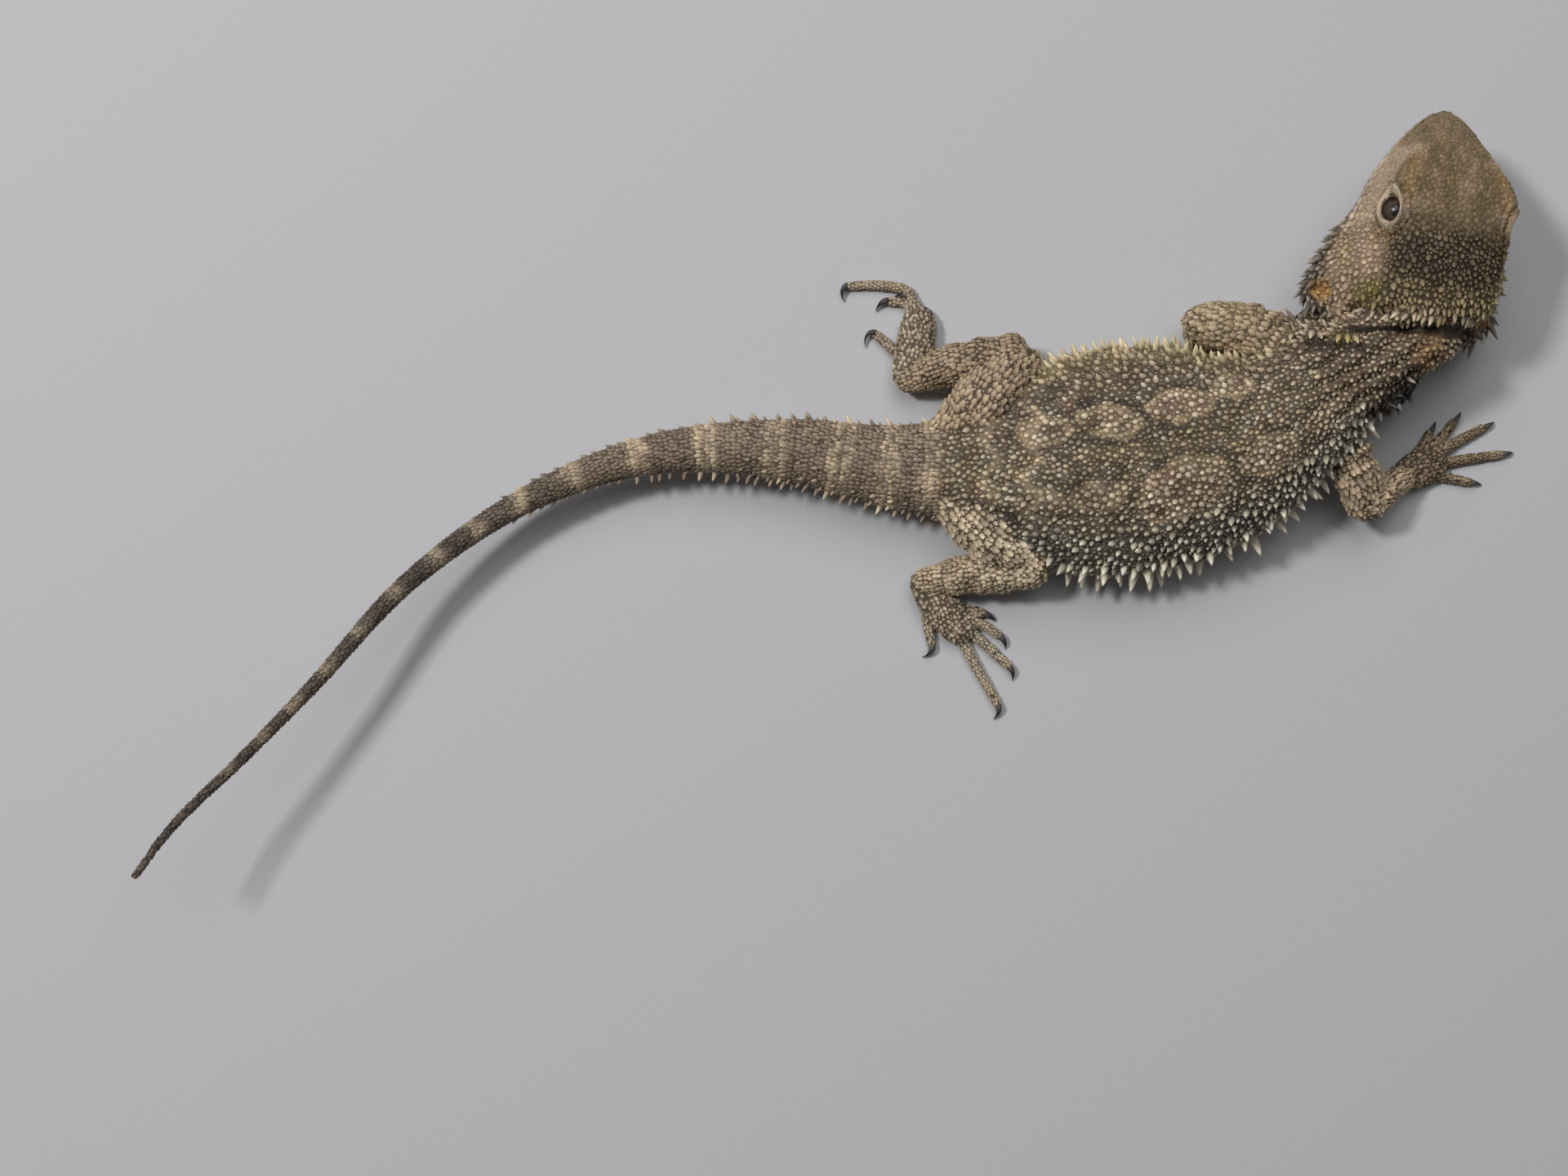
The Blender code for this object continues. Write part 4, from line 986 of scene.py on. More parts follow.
# %% Markings of the trunk and tail
OVALS = (
    (74.0, 44.8, 7.4, 3.6, 2, 0.7),
    (92.7, 47.5, 8.5, 4.0, -4, 1.0),
    (112.2, 51.6, 9.2, 3.9, 4, 1.0),
    (127.0, 57.3, 5.4, 3.0, 20, 0.7),
    (73.0, 24.0, 6.0, 4.2, -8, 0.5),
    (89.3, 26.0, 7.2, 3.8, 6, 0.6),
    (112.8, 28.4, 13.0, 7.2, 28, 0.75),
    (137.0, 37.6, 8.2, 4.4, 28, 0.7),
)
TAIL_BANDS = (275.5, 262.5, 248.5, 229, 208.8, 189, 169.5, 152.5, 137, 123, 107.5, 92.5, 78.5, 65, 52, 40)
BAND_WIDTHS = (2.3, 0.95)
BAND_SPLIT = 1.7
HIP_LINES = (59.0, 70.5)
# painted shade in the creases where each thigh meets the trunk: a middle and a turn in plan
THIGH_JOIN_SHADES = ((65.5, 20.5, -25), (64.4, 52.6, 25))
THIGH_JOIN_SHADE_SIZE = (5.85, 1.35)
ON_BACK = 0.25
# colour of the painted shade in the thigh creases
THIGH_JOIN_SHADE_COLOUR = (FLANK[0], BACK[1] * 0.3)


def in_plan(points, x, y, degrees):
    """How far each point lies ahead of a place and beside it, along a direction seen from above."""
    angle = math.radians(degrees)
    off_x, off_y = points[:, 0] - x, points[:, 1] - y
    ahead = off_x * math.cos(angle) + off_y * math.sin(angle)
    return ahead, off_y * math.cos(angle) - off_x * math.sin(angle)


def oval_fields(points):
    """How much each point is in the dark round an oval, on its pale rim and inside it."""
    waver = 0.9 * mottle(points, 4.5, 11) + 0.8 * mottle(points, 9, 15)
    halo, rim, inside = (np.zeros(len(points)) for _ in range(3))
    for middle_x, middle_y, long, wide, degrees, strength in OVALS:
        ahead, aside = in_plan(points, middle_x, middle_y, degrees)
        reach = np.hypot(ahead / long, aside / wide) + 1e-6
        past = (1 - 1 / reach) * np.hypot(ahead, aside) + waver
        halo = np.maximum(halo, strength * bump(past, 2.2, 1.1))
        rim = np.maximum(rim, strength * bump(past, 0, 0.7))
        inside = np.maximum(inside, strength * fade(-0.2, -1.3, past))
    return halo, rim * (0.75 + 0.25 * mottle(points, 6, 17)), inside


def tail_colours(points, place, turn, small, belly):
    """The tail's dark top, pale underside and bands, which fade towards its tip."""
    lower_edge = bump(np.mod(turn, 1), 0.44, 0.09) * fade(235, 190, place)
    waver = place + 0.9 * mottle(points, 4, 14) + 0.9 * mottle(points, 9, 18)
    off = np.min([np.abs(waver - middle) for middle in TAIL_BANDS], axis=0)
    near_base = fade(172, 200, place)
    width = BAND_WIDTHS[0] + (BAND_WIDTHS[1] - BAND_WIDTHS[0]) * near_base
    band = bump(off, BAND_SPLIT * near_base, width)
    band *= (0.85 + 0.15 * small) * (1 - 0.5 * lower_edge) * (0.35 + 0.6 * fade(50, 185, place))
    layers = (
        (TAIL_TIP, np.maximum(fade(215, 105, place), 0.5 * lower_edge)),
        (BELLY, 0.45 * belly),
        (BAND, band),
        (TAIL_TIP, 0.25 * fade(0.0, 0.9, small) * (1 - band)),
    )
    return layered(points, TAIL, layers)


def body_paint(points, place, turn):
    """Dark and pale colours on the trunk and tail."""
    x, y = points[:, 0], points[:, 1]
    small, large = mottle(points, 5, 11), mottle(points, 15, 12)
    from_back = np.abs(turned_from(turn, ON_BACK))
    halo, rim, inside = oval_fields(points)
    upper = fade(0.2, 0.12, from_back)
    layers = [
        (OLIVE, 0.7 * bump(from_back, 0, 0.055) * fade(-0.6, 0.5, large + 0.4)),
        (RUST, 0.4 * fade(0.1, 0.8, mottle(points, 12, 13))),
        ((BACK[0], FLANK[1] * 0.9), 0.7 * fade(0.1, 0.7, mottle(points, 7, 16))),
        ((FLANK[0], BACK[1] * 0.55), 0.8 * halo * upper),
        (OVAL_MIDDLE, 0.75 * inside * upper),
    ]
    for line in HIP_LINES:
        across = x - line - 2.2 * np.sin(y * 0.55) - 1.2 * small
        layers.append((BAND, 0.7 * bump(across, 0, 1.5) * upper))
        layers.append((FLANK, 0.35 * bump(across, 4.2, 2.0) * upper))
    right, left = turned_from(turn, 0.5), turned_from(turn, 0.0)
    right = fade(-0.19, -0.1, right) * fade(0.09, 0.05, right) * fade(VENT, VENT + 10, place)
    left = 0.85 * fade(0.13, 0.06, left) * fade(-0.09, -0.05, left)
    layers += [(FLANK, 0.95 * right), (LEFT_FLANK, left), (OVAL_RIM, 0.9 * rim * upper)]
    # painted shade in the creases where the thighs meet the trunk
    for join_shade in THIGH_JOIN_SHADES:
        layers.append((THIGH_JOIN_SHADE_COLOUR, patch(*in_plan(points, *join_shade), (0, 0), THIGH_JOIN_SHADE_SIZE, 0.8)))
    belly = fade(0.24, 0.30, from_back)
    layers.append((BELLY, belly))
    tail = tail_colours(points, place, turn, small, belly)
    layers.append((tail, fade(VENT + 4, VENT - 6, place)))
    return shaded(layered(points, BACK, layers), 1 + 0.26 * small + 0.14 * large)


print("tail bands:", len(TAIL_BANDS))

# %% [markdown]
# Legs are tan with a few darker bars. The right thigh is the warmest, the left legs lie in a cooler,
# browner tone, and the left upper arm is a smooth olive. The hands are darker and the feet paler
# than the legs, with dark streaks lengthwise.

# %% Markings of the limbs
WARM_THIGH = ((62.0, 14.0), (20.0, 20.0), 1.0)
OLIVE_ARM = ((127.0, 80.0), (10.0, 10.0), 0.9)
UNDERNEATH = 0.75
LIMB_BARS = (HAND[0] * 0.7, HAND[1] * 0.8)
FOOT_CREASES = (HAND[0] * 0.8, HAND[1] * 0.8)


def limb_paint(points, place, turn):
    """Dark and pale colours on legs and arms."""
    x, y = points[:, 0], points[:, 1]
    layers = (
        (THIGH, patch(x, y, *WARM_THIGH)),
        (HAND, 0.42 * fade(50, 66, y) * fade(110, 90, x)),
        (LIMB_BARS, 0.5 * fade(0.25, 0.8, mottle(points * (1, 1, 0.6), 13, 31))),
        (ARM_TOP, patch(x, y, *OLIVE_ARM)),
        (BELLY, 0.6 * bump(np.mod(turn, 1), UNDERNEATH, 0.13)),
    )
    return shaded(layered(points, LIMB, layers), 1 + 0.14 * mottle(points, 4, 32))


def foot_paint(points, place, turn):
    """Dark and pale colours on hands and feet."""
    creases = fade(0.1, 0.9, np.cos(3 * math.tau * turn + 0.6) + 0.3 * mottle(points, 4, 35))
    layers = (
        (FOOT, fade(120, 100, points[:, 0])),
        (LIMB, 0.4 * fade(-0.2, 0.7, mottle(points, 9, 33))),
        (FOOT_CREASES, 0.5 * creases * (0.3 + 0.7 * fade(100, 120, points[:, 0]))),
        (BELLY, 0.5 * bump(np.mod(turn, 1), UNDERNEATH, 0.13)),
    )
    return shaded(layered(points, HAND, layers), 1 + 0.15 * mottle(points, 3, 34))


# %% [markdown]
# The head is the busiest part: a smooth tan snout, a streaked olive crown, an ochre stripe over the
# eye, a pale cheek with pink and moss green behind it, a tan eardrum and a dark nape. Painted shade
# darkens the mouth line, the nostrils, the groove round the lids and the front corner of each eye,
# and the right eye's lids are painted less pale, as if in shade. A pale row of teeth crosses the neck
# with a painted shadow in front of it, painted shadow fills the groove behind the head, and the
# throat's edge is almost black.
# Patches are given by a middle, a size and a strength: on the head by how far back and how far out
# they lie, on the neck and limbs in plan.

# %% Markings of the head, beard and neck
BEHIND_EYE = ((38.0, 18.6), (2.88, 1.98), 0.75)
PINK_CHEEK = ((46.0, 21.0), (4.95, 2.52), 0.9)
MOSSY_NAPE = ((54.0, 18.5), (3.06, 1.98), 0.5)
# painted shade in the front corner of each eye
EYE_CORNER_SHADE = ((23.2, 12.3), (1.0, 1.0), 0.85)
EYE_CORNER_FOOT = 4
NECK_SHADE = ((190.0, 73.0), (5.0, 5.0), 1.0)
MOSSY_NECK = ((157.0, 70.4), (2.4, 2.0), 0.8)
ORANGE_NECK = ((181.0, 66.0), (5.0, 5.0), 0.6)
THROAT_EDGE = np.array((175.9, 62.1))
THROAT_WAY = np.array((0.757, -0.654))
TEETH_ROW = (144.0, 71.6, -0.075)
# how far in front of the row of teeth their painted shadow lies
TEETH_SHADOW_OFFSET = 2.6
DARK_STREAKS = (CROWN[0] * 0.7, CROWN[1] * 0.66)
# colour of the painted shadow in front of the teeth
TEETH_SHADOW = (NAPE_GROOVE_SHADOW[0] * 0.5, NAPE_GROOVE_SHADOW[1] * 0.7)


def head_paint(points, place, turn):
    """Dark and pale colours on the head and the beard."""
    u, left, height = head_places(points)
    side = np.abs(left)
    small, large = mottle(points, 2.6, 41), mottle(points, 7, 42)
    streaks = mottle(np.column_stack([0.3 * u, left, height]), 2.8, 43)
    along = fade(8, 14, u) * fade(44, 36, u)
    rear = fade(27, 41, u + 4 * large - 0.12 * left) * fade(19, 15, left) * fade(-26, -22, left)
    temple = bump(u, 40, 5) * fade(-13, -16, left) * fade(4, 7, height)
    face = fade(9.5, 12.5, side - 0.16 * (u - 14)) * fade(13.5, 11, height) * fade(10, 14, u)
    face *= fade(56, 48, u) * fade(-3.5, -1.0, height)
    stripe = bump(side, 12.6 + 0.25 * (u - 14), 1.6) * fade(9, 12, height) * fade(13, 17, u)
    corner = fade(47, 51, u) * fade(19, 23, side) * fade(-4, -2, height)
    moss = bump(side, 24.6 + 0.1 * (u - 44), 1.0) * fade(38, 42, u) * fade(53, 48, u)
    moss *= fade(0, 3, height) * fade(-0.6, 0.2, small)
    lids = lid_reach(points)
    groove = bump(lids, 1.56, 0.1) * (height > LID_GROOVE_FOOT)
    nostril = np.hypot(u - NOSTRIL_PLACE[0], height - NOSTRIL_PLACE[1])
    layers = (
        (SNOUT, fade(17, 8, u + 3 * large)),
        (DARK_STREAKS, 0.8 * fade(0.0, 0.5, streaks) * along),
        (CHEEK, 0.55 * fade(-0.1, -0.6, streaks) * along),
        (NAPE_DARK, rear),
        ((NAPE_DARK[0], CROWN[0]), 0.75 * temple),
        (NAPE, 0.75 * fade(48, 52, u + large) * fade(3, 6, height)),
        (CHEEK, 0.85 * face),
        (OCHRE, 0.5 * stripe * fade(36, 30, u)),
        ((OCHRE[0] * 0.5, OCHRE[1] * 0.5), patch(u, side, *BEHIND_EYE) * fade(1, 3, height)),
        (TEMPLE_PINK, patch(u, side, *PINK_CHEEK) * fade(1, 4, height)),
        ((CHEEK[0] * 0.85, CHEEK[1] * 0.97), 0.8 * corner),
        (MOSS, 0.75 * moss),
        (MOSS, patch(u, side, *MOSSY_NAPE) * fade(1, 4, height)),
        # the right eye's lids take less of the pale colour: painted shade on the right side of the head
        (LIDS, (0.2 + 0.5 * (left > 0)) * fade(1.5, 1.4, lids)),
        # painted shade in the front corner of each eye and in the groove round the lids
        (LID_GROOVE_SHADE, patch(u, side, *EYE_CORNER_SHADE) * (height > EYE_CORNER_FOOT)),
        (LID_GROOVE_SHADE, 0.7 * groove),
        (CHIN, fade(-0.5, -2.5, height) * fade(36, 28, u)),
        (BEARD, fade(-1.5, -4.0, height) * fade(27, 36, u)),
        (EARDRUM, 0.95 * fade(1.6, 1.0, ear_reach(points))),
        # painted shade along the mouth line and inside the nostrils
        (MOUTH_LINE_SHADE, 0.8 * bump(height, 0, 0.5) * fade(MOUTH_CORNER + 2, MOUTH_CORNER - 2, u)),
        (NOSTRIL_SHADE, fade(1.2, 0.6, nostril) * (side > NOSTRIL_SIDE)),
    )
    shade = 1 + 0.14 * small + 0.10 * large + 0.14 * streaks
    return shaded(layered(points, CROWN, layers), shade)


def neck_paint(points, place, turn):
    """Dark and pale colours on the neck: the throat's edge, and painted shadow in the nape groove and in
    front of the teeth.
    """
    x, y = points[:, 0], points[:, 1]
    # painted shadow: the groove between head and neck, and a patch to the right of the head, darkened as if
    # shaded by the head
    groove = np.maximum(1.2 * nape_gap(points), patch(x, y, *NECK_SHADE)).clip(0, 1)
    beyond = points[:, :2] - THROAT_EDGE
    throat = fade(-1.2, 1.2, beyond @ THROAT_WAY)
    throat = throat * fade(4, 1, beyond @ (-THROAT_WAY[1], THROAT_WAY[0]))
    # painted shadow: a dark band on the neck just in front of the row of teeth, under their leaning tips
    gap = y - TEETH_ROW[1] - TEETH_ROW[2] * (x - TEETH_ROW[0]) + TEETH_SHADOW_OFFSET
    gap = bump(gap, 0, 1.5) * fade(142, 145, x) * fade(166, 161, x)
    layers = (
        (RUST, 0.35 * fade(-0.2, 0.6, mottle(points, 9, 51))),
        (NAPE_GROOVE_SHADOW, 0.9 * groove),
        (THROAT, 0.95 * throat),
        (TEETH_SHADOW, 0.85 * gap),
        ((NAPE_GROOVE_SHADOW[0], MOSS[1]), patch(x, y, *MOSSY_NECK)),
        (OCHRE, patch(x, y, *ORANGE_NECK)),
        (BEARD, 0.85 * fade(0.2, 0.3, np.abs(turned_from(turn, ON_BACK)))),
        (EARDRUM, 0.95 * fade(1.6, 1.0, ear_reach(points))),
    )
    return shaded(layered(points, BACK, layers), 1 + 0.18 * mottle(points, 4, 52))


def pouch_paint(points, place, turn):
    return shaded(layered(points, POUCH, ()), 1 + 0.2 * mottle(points, 3, 61))


PAINTS = {
    "body": body_paint,
    "neck": neck_paint,
    "crown": head_paint,
    "jaw": head_paint,
    "pouch": pouch_paint,
    "limb": limb_paint,
    "palm": foot_paint,
    "toe": foot_paint,
}


def paint(points, parts, places, turns):
    """Dark and pale colours for points on any part."""
    dark, pale = np.zeros((len(points), 3)), np.zeros((len(points), 3))
    kinds = np.array(PART_KINDS)[parts]
    for kind, function in PAINTS.items():
        mine = kinds == kind
        if mine.any():
            dark[mine], pale[mine] = function(points[mine], places[mine], turns[mine])
    return dark, pale


def store_colours(mesh, colours):
    """Keep one colour for each point of a mesh, for its material to read."""
    attribute = mesh.attributes.new("Markings", "FLOAT_COLOR", "POINT")
    rows = np.ones((len(colours), 4), np.float32)
    rows[:, :3] = np.clip(colours, 0.002, 1)
    attribute.data.foreach_set("color", rows.ravel())


SKIN_SHADE = 0.8
skin_dark, skin_pale = paint(skin_points, skin_parts, skin_lengths, skin_turns)
on_face = np.isin(np.array(PART_KINDS)[skin_parts], ("crown", "jaw"))
on_face = on_face * fade(38, 31, head_places(skin_points)[0])
skin_share = 0.10 + 0.08 * mottle(skin_points, 2, 71) + 0.25 * on_face
skin_colours = blend(skin_dark, skin_pale, skin_share)
skin_colours *= (SKIN_SHADE + (1 - SKIN_SHADE) * on_face)[:, None]
store_colours(skin.data, skin_colours)
print("mean skin colour:", [round(float(value), 3) for value in skin_colours.mean(axis=0)])

# %% [markdown]
# ## The forms of a scale
#
# Every scale is a small closed solid. It starts as a disc, which is extruded upwards a few times, and
# then each level gets its own length, width, shift and height. A blunt pebble, a keeled tile, a sharp
# cone and a long spine differ only in those numbers. Thousands of copies follow, so each has only a
# few dozen faces.

# %% Make a form from its levels
class Form:
    """A scale of unit size: x is the way it lies, z stands off the skin."""

    def __init__(self, sides, levels, tip=None, power=1.3):
        bm = bmesh.new()
        bmesh.ops.create_circle(bm, cap_ends=True, segments=sides, radius=1.0)
        steps = len(levels) - (tip is None)
        for _ in range(steps):
            top = max(bm.faces, key=lambda face: face.calc_center_median().z)
            raised = bmesh.ops.extrude_face_region(bm, geom=[top])
            verts = [item for item in raised["geom"] if isinstance(item, bmesh.types.BMVert)]
            bmesh.ops.translate(bm, vec=UP, verts=verts)
        if tip is not None:
            bmesh.ops.pointmerge(bm, verts=verts, merge_co=(0, 0, steps))
        for vert in bm.verts:
            level = round(vert.co.z)
            if level == len(levels):
                vert.co = (tip[0], 0, tip[1])
            else:
                long, wide, shift, height, rise = levels[level]
                x, y = vert.co.x * long, vert.co.y * wide
                vert.co = (x + shift, y, height + rise * x)
        bmesh.ops.recalc_face_normals(bm, faces=bm.faces)
        bm.verts.index_update()
        self.points = as_rows(vert.co for vert in bm.verts)
        self.corners = np.array([vert.index for face in bm.faces for vert in face.verts])
        self.counts = np.array([len(face.verts) for face in bm.faces])
        bm.free()
        self.triangles = int((self.counts - 2).sum())
        heights = self.points[:, 2]
        self.paleness = np.clip(heights / heights.max(), 0, 1) ** power
        self.flat = self.points[:, :2] / np.abs(self.points[:, :2]).max()


PEBBLE = Form(5, ((1, 1, 0, -0.5, 0), (0.86, 0.86, 0, 0.3, 0), (0.45, 0.45, 0.05, 0.75, 0)))
BEAD = Form(6, ((1, 1, 0, -0.5, 0), (0.9, 0.9, 0, 0.3, 0), (0.52, 0.52, 0.04, 0.8, 0)), (0.05, 0.95))
TILE_LEVELS = ((1, 1, 0, -0.4, 0), (0.95, 0.86, 0.06, 0.3, 0.25), (0.7, 0.14, 0.28, 0.62, 0.6))
TILE = Form(6, TILE_LEVELS, power=0.8)
SHIELD_LEVELS = ((1, 1, 0, -0.4, 0), (0.93, 0.9, 0, 0.4, 0), (0.66, 0.6, 0, 0.72, 0))
SHIELD = Form(8, SHIELD_LEVELS, power=0.6)
PLATE_LEVELS = ((1, 1, 0, -0.4, 0), (0.93, 0.93, 0, 0.45, 0), (0.6, 0.6, 0.03, 0.85, 0))
PLATE = Form(7, PLATE_LEVELS, power=0.4)
LEAF_LEVELS = ((1, 1, 0, -0.4, 0), (0.94, 0.9, 0.03, 0.3, 0.2), (0.66, 0.26, 0.2, 0.68, 0.35))
LEAF = Form(6, LEAF_LEVELS, (0.8, 1.0), power=0.8)
CONE_LEVELS = ((1, 1, 0, -0.3, 0), (0.9, 0.9, 0.04, 0.2, 0.04), (0.56, 0.34, 0.24, 0.68, 0.2))
CONE = Form(6, CONE_LEVELS, (0.82, 1.0), power=1.0)
SPINE_LEVELS = (
    (1, 1, 0, -0.16, 0),
    (0.96, 0.96, 0.02, 0.1, 0),
    (0.72, 0.68, 0.1, 0.42, 0),
    (0.36, 0.32, 0.28, 0.78, 0),
)
SPINE = Form(9, SPINE_LEVELS, (0.5, 1.0), power=0.5)
THORN = Form(9, SPINE_LEVELS, (0.6, 1.0), power=1.6)
for name, form in (("pebble", PEBBLE), ("tile", TILE), ("cone", CONE), ("spine", SPINE)):
    print(name, "has", form.triangles, "triangles")

# %% [markdown]
# ## A coat of scales
#
# A coat joins many copies of the forms in one mesh with array arithmetic, which is far quicker than
# one object for each scale. Each scale brings its colours, dark at its root and pale at its tip, and
# a small patch on an unwrap of its part of the animal, so that colours can be baked on it later.

# %% Gather scales into one mesh
PATCH = 0.0015
KEEL_ANGLE = math.radians(44.0)


class Coat:
    """Scales joined into one mesh."""

    def __init__(self, name, numbers):
        self.name, self.numbers = name, list(numbers)
        self.points, self.corners, self.counts, self.colours, self.patches = [], [], [], [], []
        self.first = self.scales = self.triangles = 0

    def unwrapped(self, parts, places, turns):
        """Each root's place on the unwrap: one strip for each part, its length across the strip."""
        spots = np.zeros((len(parts), 2))
        for strip, number in enumerate(self.numbers):
            mine = parts == number
            along = PARTS[number][1].along
            spots[mine, 0] = 0.01 + 0.98 * (places[mine] - along[0]) / (along[-1] - along[0])
            spots[mine, 1] = (strip + 0.03 + 0.94 * np.mod(turns[mine], 1)) / len(self.numbers)
        return spots

    def add(self, form, roots, outs, lies, sizes, dark, pale, spots):
        """Copies of a form: sizes are half length, half width and height in millimetres."""
        lies = lies - outs * (lies * outs).sum(axis=1)[:, None]
        lies /= np.linalg.norm(lies, axis=1)[:, None] + 1e-9
        frames = np.stack([lies, np.cross(outs, lies), outs], axis=1) * sizes[:, :, None]
        points = form.points @ frames + roots[:, None]
        points[..., 2] = np.maximum(points[..., 2], FLOOR_CLEAR)
        share = form.paleness[None, :, None]
        colours = dark[:, None] * (1 - share) + pale[:, None] * share
        starts = self.first + np.arange(len(roots)) * len(form.points)
        self.points.append(points.reshape(-1, 3))
        self.colours.append(colours.reshape(-1, 3))
        self.corners.append((form.corners + starts[:, None]).ravel())
        self.counts.append(np.tile(form.counts, len(roots)))
        self.patches.append((form.flat[form.corners] * PATCH + spots[:, None]).reshape(-1, 2))
        self.first += len(roots) * len(form.points)
        self.scales += len(roots)
        self.triangles += len(roots) * form.triangles

    def build(self):
        points = (np.concatenate(self.points) + np.array(SHIFT)) * MM
        corners, counts = np.concatenate(self.corners), np.concatenate(self.counts)
        mesh = bpy.data.meshes.new(self.name)
        mesh.vertices.add(len(points))
        mesh.vertices.foreach_set("co", points.astype(np.float32).ravel())
        mesh.loops.add(len(corners))
        mesh.loops.foreach_set("vertex_index", corners.astype(np.int32))
        mesh.polygons.add(len(counts))
        starts = np.concatenate([[0], np.cumsum(counts)[:-1]])
        mesh.polygons.foreach_set("loop_start", starts.astype(np.int32))
        mesh.update(calc_edges=True)
        mesh.shade_smooth()
        mesh.set_sharp_from_angle(angle=KEEL_ANGLE)
        layer = mesh.uv_layers.new(name="OFBake")
        layer.data.foreach_set("uv", np.concatenate(self.patches).astype(np.float32).ravel())
        store_colours(mesh, np.concatenate(self.colours))
        print(self.name, "holds", self.scales, "scales,", self.triangles, "triangles")
        return add_object(self.name, mesh)


# %% [markdown]
# Scales crowd each other but don't grow through each other. The surface is divided into small boxes,
# and each scale is written in the box that it stands in, so that a newcomer only has to be measured
# against the few neighbours in the boxes round it.

# %% Keep scales from growing through each other
BOX = 2.0
BOXES_ROUND = [(x, y, z) for x in (-1, 0, 1) for y in (-1, 0, 1) for z in (-1, 0, 1)]


class Room:
    """Remembers where scales stand."""

    def __init__(self):
        self.boxes = {}

    def fits(self, point, reach):
        x, y, z = point
        left, near, low = int(x // BOX), int(y // BOX), int(z // BOX)
        for right, far, high in BOXES_ROUND:
            for other in self.boxes.get((left + right, near + far, low + high), ()):
                space = reach + other[3]
                if (x - other[0]) ** 2 + (y - other[1]) ** 2 + (z - other[2]) ** 2 < space * space:
                    return False
        return True

    def take(self, points, reaches):
        """Set each point that fits, in order, and tell which those were."""
        taken = []
        for point, reach in zip(points.tolist(), reaches.tolist()):
            free = self.fits(point, reach)
            taken.append(free)
            if free:
                key = tuple(int(value // BOX) for value in point)
                self.boxes.setdefault(key, []).append((*point, reach))
        return np.array(taken, bool)


room = Room()
skin_faces = [tuple(face.vertices) for face in skin.data.polygons]
skin_tree = BVHTree.FromPolygons(skin_points.tolist(), skin_faces)
skin_normals = read_normals(skin.data)
face_normals = np.array([skin_normals[list(face)].sum(axis=0) for face in skin_faces])
face_normals /= np.linalg.norm(face_normals, axis=1)[:, None]
DEEPEST = 1.4
EAR_BARE, LID_BARE, GROOVE_BARE = 0.75, 1.44, 0.45
SWING, CALM_SWING = 0.5, 0.12
PALENESS, EVEN_PALENESS = (0.62, 1.36), (0.86, 1.14)
SOCKET_REACH = 5.1
EYE_MIDDLES = as_rows(eye_middle(side) for side in (1, -1))


def settle(points):
    """The nearest points of the skin, the way out of it there, and how far off each point was."""
    found = [skin_tree.find_nearest(point) for point in points.tolist()]
    places = as_rows(hit[0] for hit in found)
    return places, face_normals[[hit[2] for hit in found]], np.array([hit[3] for hit in found])


def in_sockets(points):
    """True for points of the skin that line an eye socket."""
    away = np.linalg.norm(points[:, None] - EYE_MIDDLES[None], axis=2)
    return away.min(axis=1) < SOCKET_REACH


def grow(coat, form, points, sizes, reach, only=None, lean=None, bright=None, deepest=DEEPEST, way=None):
    """Set scales at the skin points nearest to the given ones, where they fit.

    Only is the one part that they may stand on. Lean tilts them along the way they lie, bright
    takes their pale colour nearer to the dark one or past itself, and way turns them another way.
    """
    roots, outs, gaps = settle(points)
    parts, places, turns, lies = owners_of(roots)
    keep = (gaps < deepest) & ~in_sockets(roots) & np.isin(parts, coat.numbers)
    keep &= (ear_reach(roots) > EAR_BARE) & (lid_reach(roots) > LID_BARE)
    keep &= nape_gap(roots) < GROOVE_BARE
    if only is not None:
        keep &= parts == only
    sizes = np.broadcast_to(sizes, (len(points), 3))
    reaches = np.broadcast_to(reach, len(points))
    chosen = np.flatnonzero(keep)
    chosen = chosen[room.take(roots[chosen], reaches[chosen])]
    roots, outs, lies, sizes = roots[chosen], outs[chosen], lies[chosen], sizes[chosen]
    parts, places, turns = parts[chosen], places[chosen], turns[chosen]
    if way is not None:
        lies = way - outs * (outs @ way)[:, None]
    dark, pale = paint(roots, parts, places, turns)
    if bright is not None:
        pale = blend(dark, pale, bright(roots) if callable(bright) else np.full(len(roots), bright))
    draw = np.random.default_rng(len(roots))
    uneven = PALENESS if form is CONE and bright is None else EVEN_PALENESS
    pale = pale * draw.uniform(*uneven, (len(roots), 1))
    swing = draw.normal(0, SWING if form is CONE else CALM_SWING, (len(roots), 1))
    lies = lies / np.linalg.norm(lies, axis=1)[:, None]
    lies = lies * np.cos(swing) + np.cross(outs, lies) * np.sin(swing)
    if lean is not None:
        outs = outs + lies * lean
        outs /= np.linalg.norm(outs, axis=1)[:, None]
    coat.add(form, roots, outs, lies, sizes, dark, pale, coat.unwrapped(parts, places, turns))
    return len(chosen)


# %% [markdown]
# Most scales stand in staggered rows across a part, like roof tiles. Their spacing may change along
# the part, and each is moved a little from its place by a seeded draw, so that no row looks ruled.

# %% Rows of scales
JITTER = 0.15
SIZE_SPREAD = 0.12


def tapered(first, last, start, stop):
    """A length that changes evenly between two places along a part."""
    return lambda place: np.interp(place, (start, stop), (first, last))


def rows(guide, start, stop, step, gap, first=-0.5, last=0.5, seed=1, jitter=JITTER):
    """Places and turns of staggered rows. First and last are shares of the girth from the back."""
    draw = np.random.default_rng(seed)
    places, turns = [], []
    place, number = start, 0
    while place < stop:
        girth = guide.girth(place)
        count = max(round(girth * (last - first) / float(gap(place))), 1)
        shares = (np.arange(count) + 0.5 * (number % 2) + draw.uniform(-jitter, jitter, count)) / count
        turns.append(guide.turn_at(place, (first + (last - first) * shares) * girth))
        moved = place + draw.uniform(-jitter, jitter, count) * float(step(place))
        places.append(np.clip(moved, guide.along[0], guide.along[-1]))
        place += float(step(place))
        number += 1
    return np.concatenate(places), np.concatenate(turns)


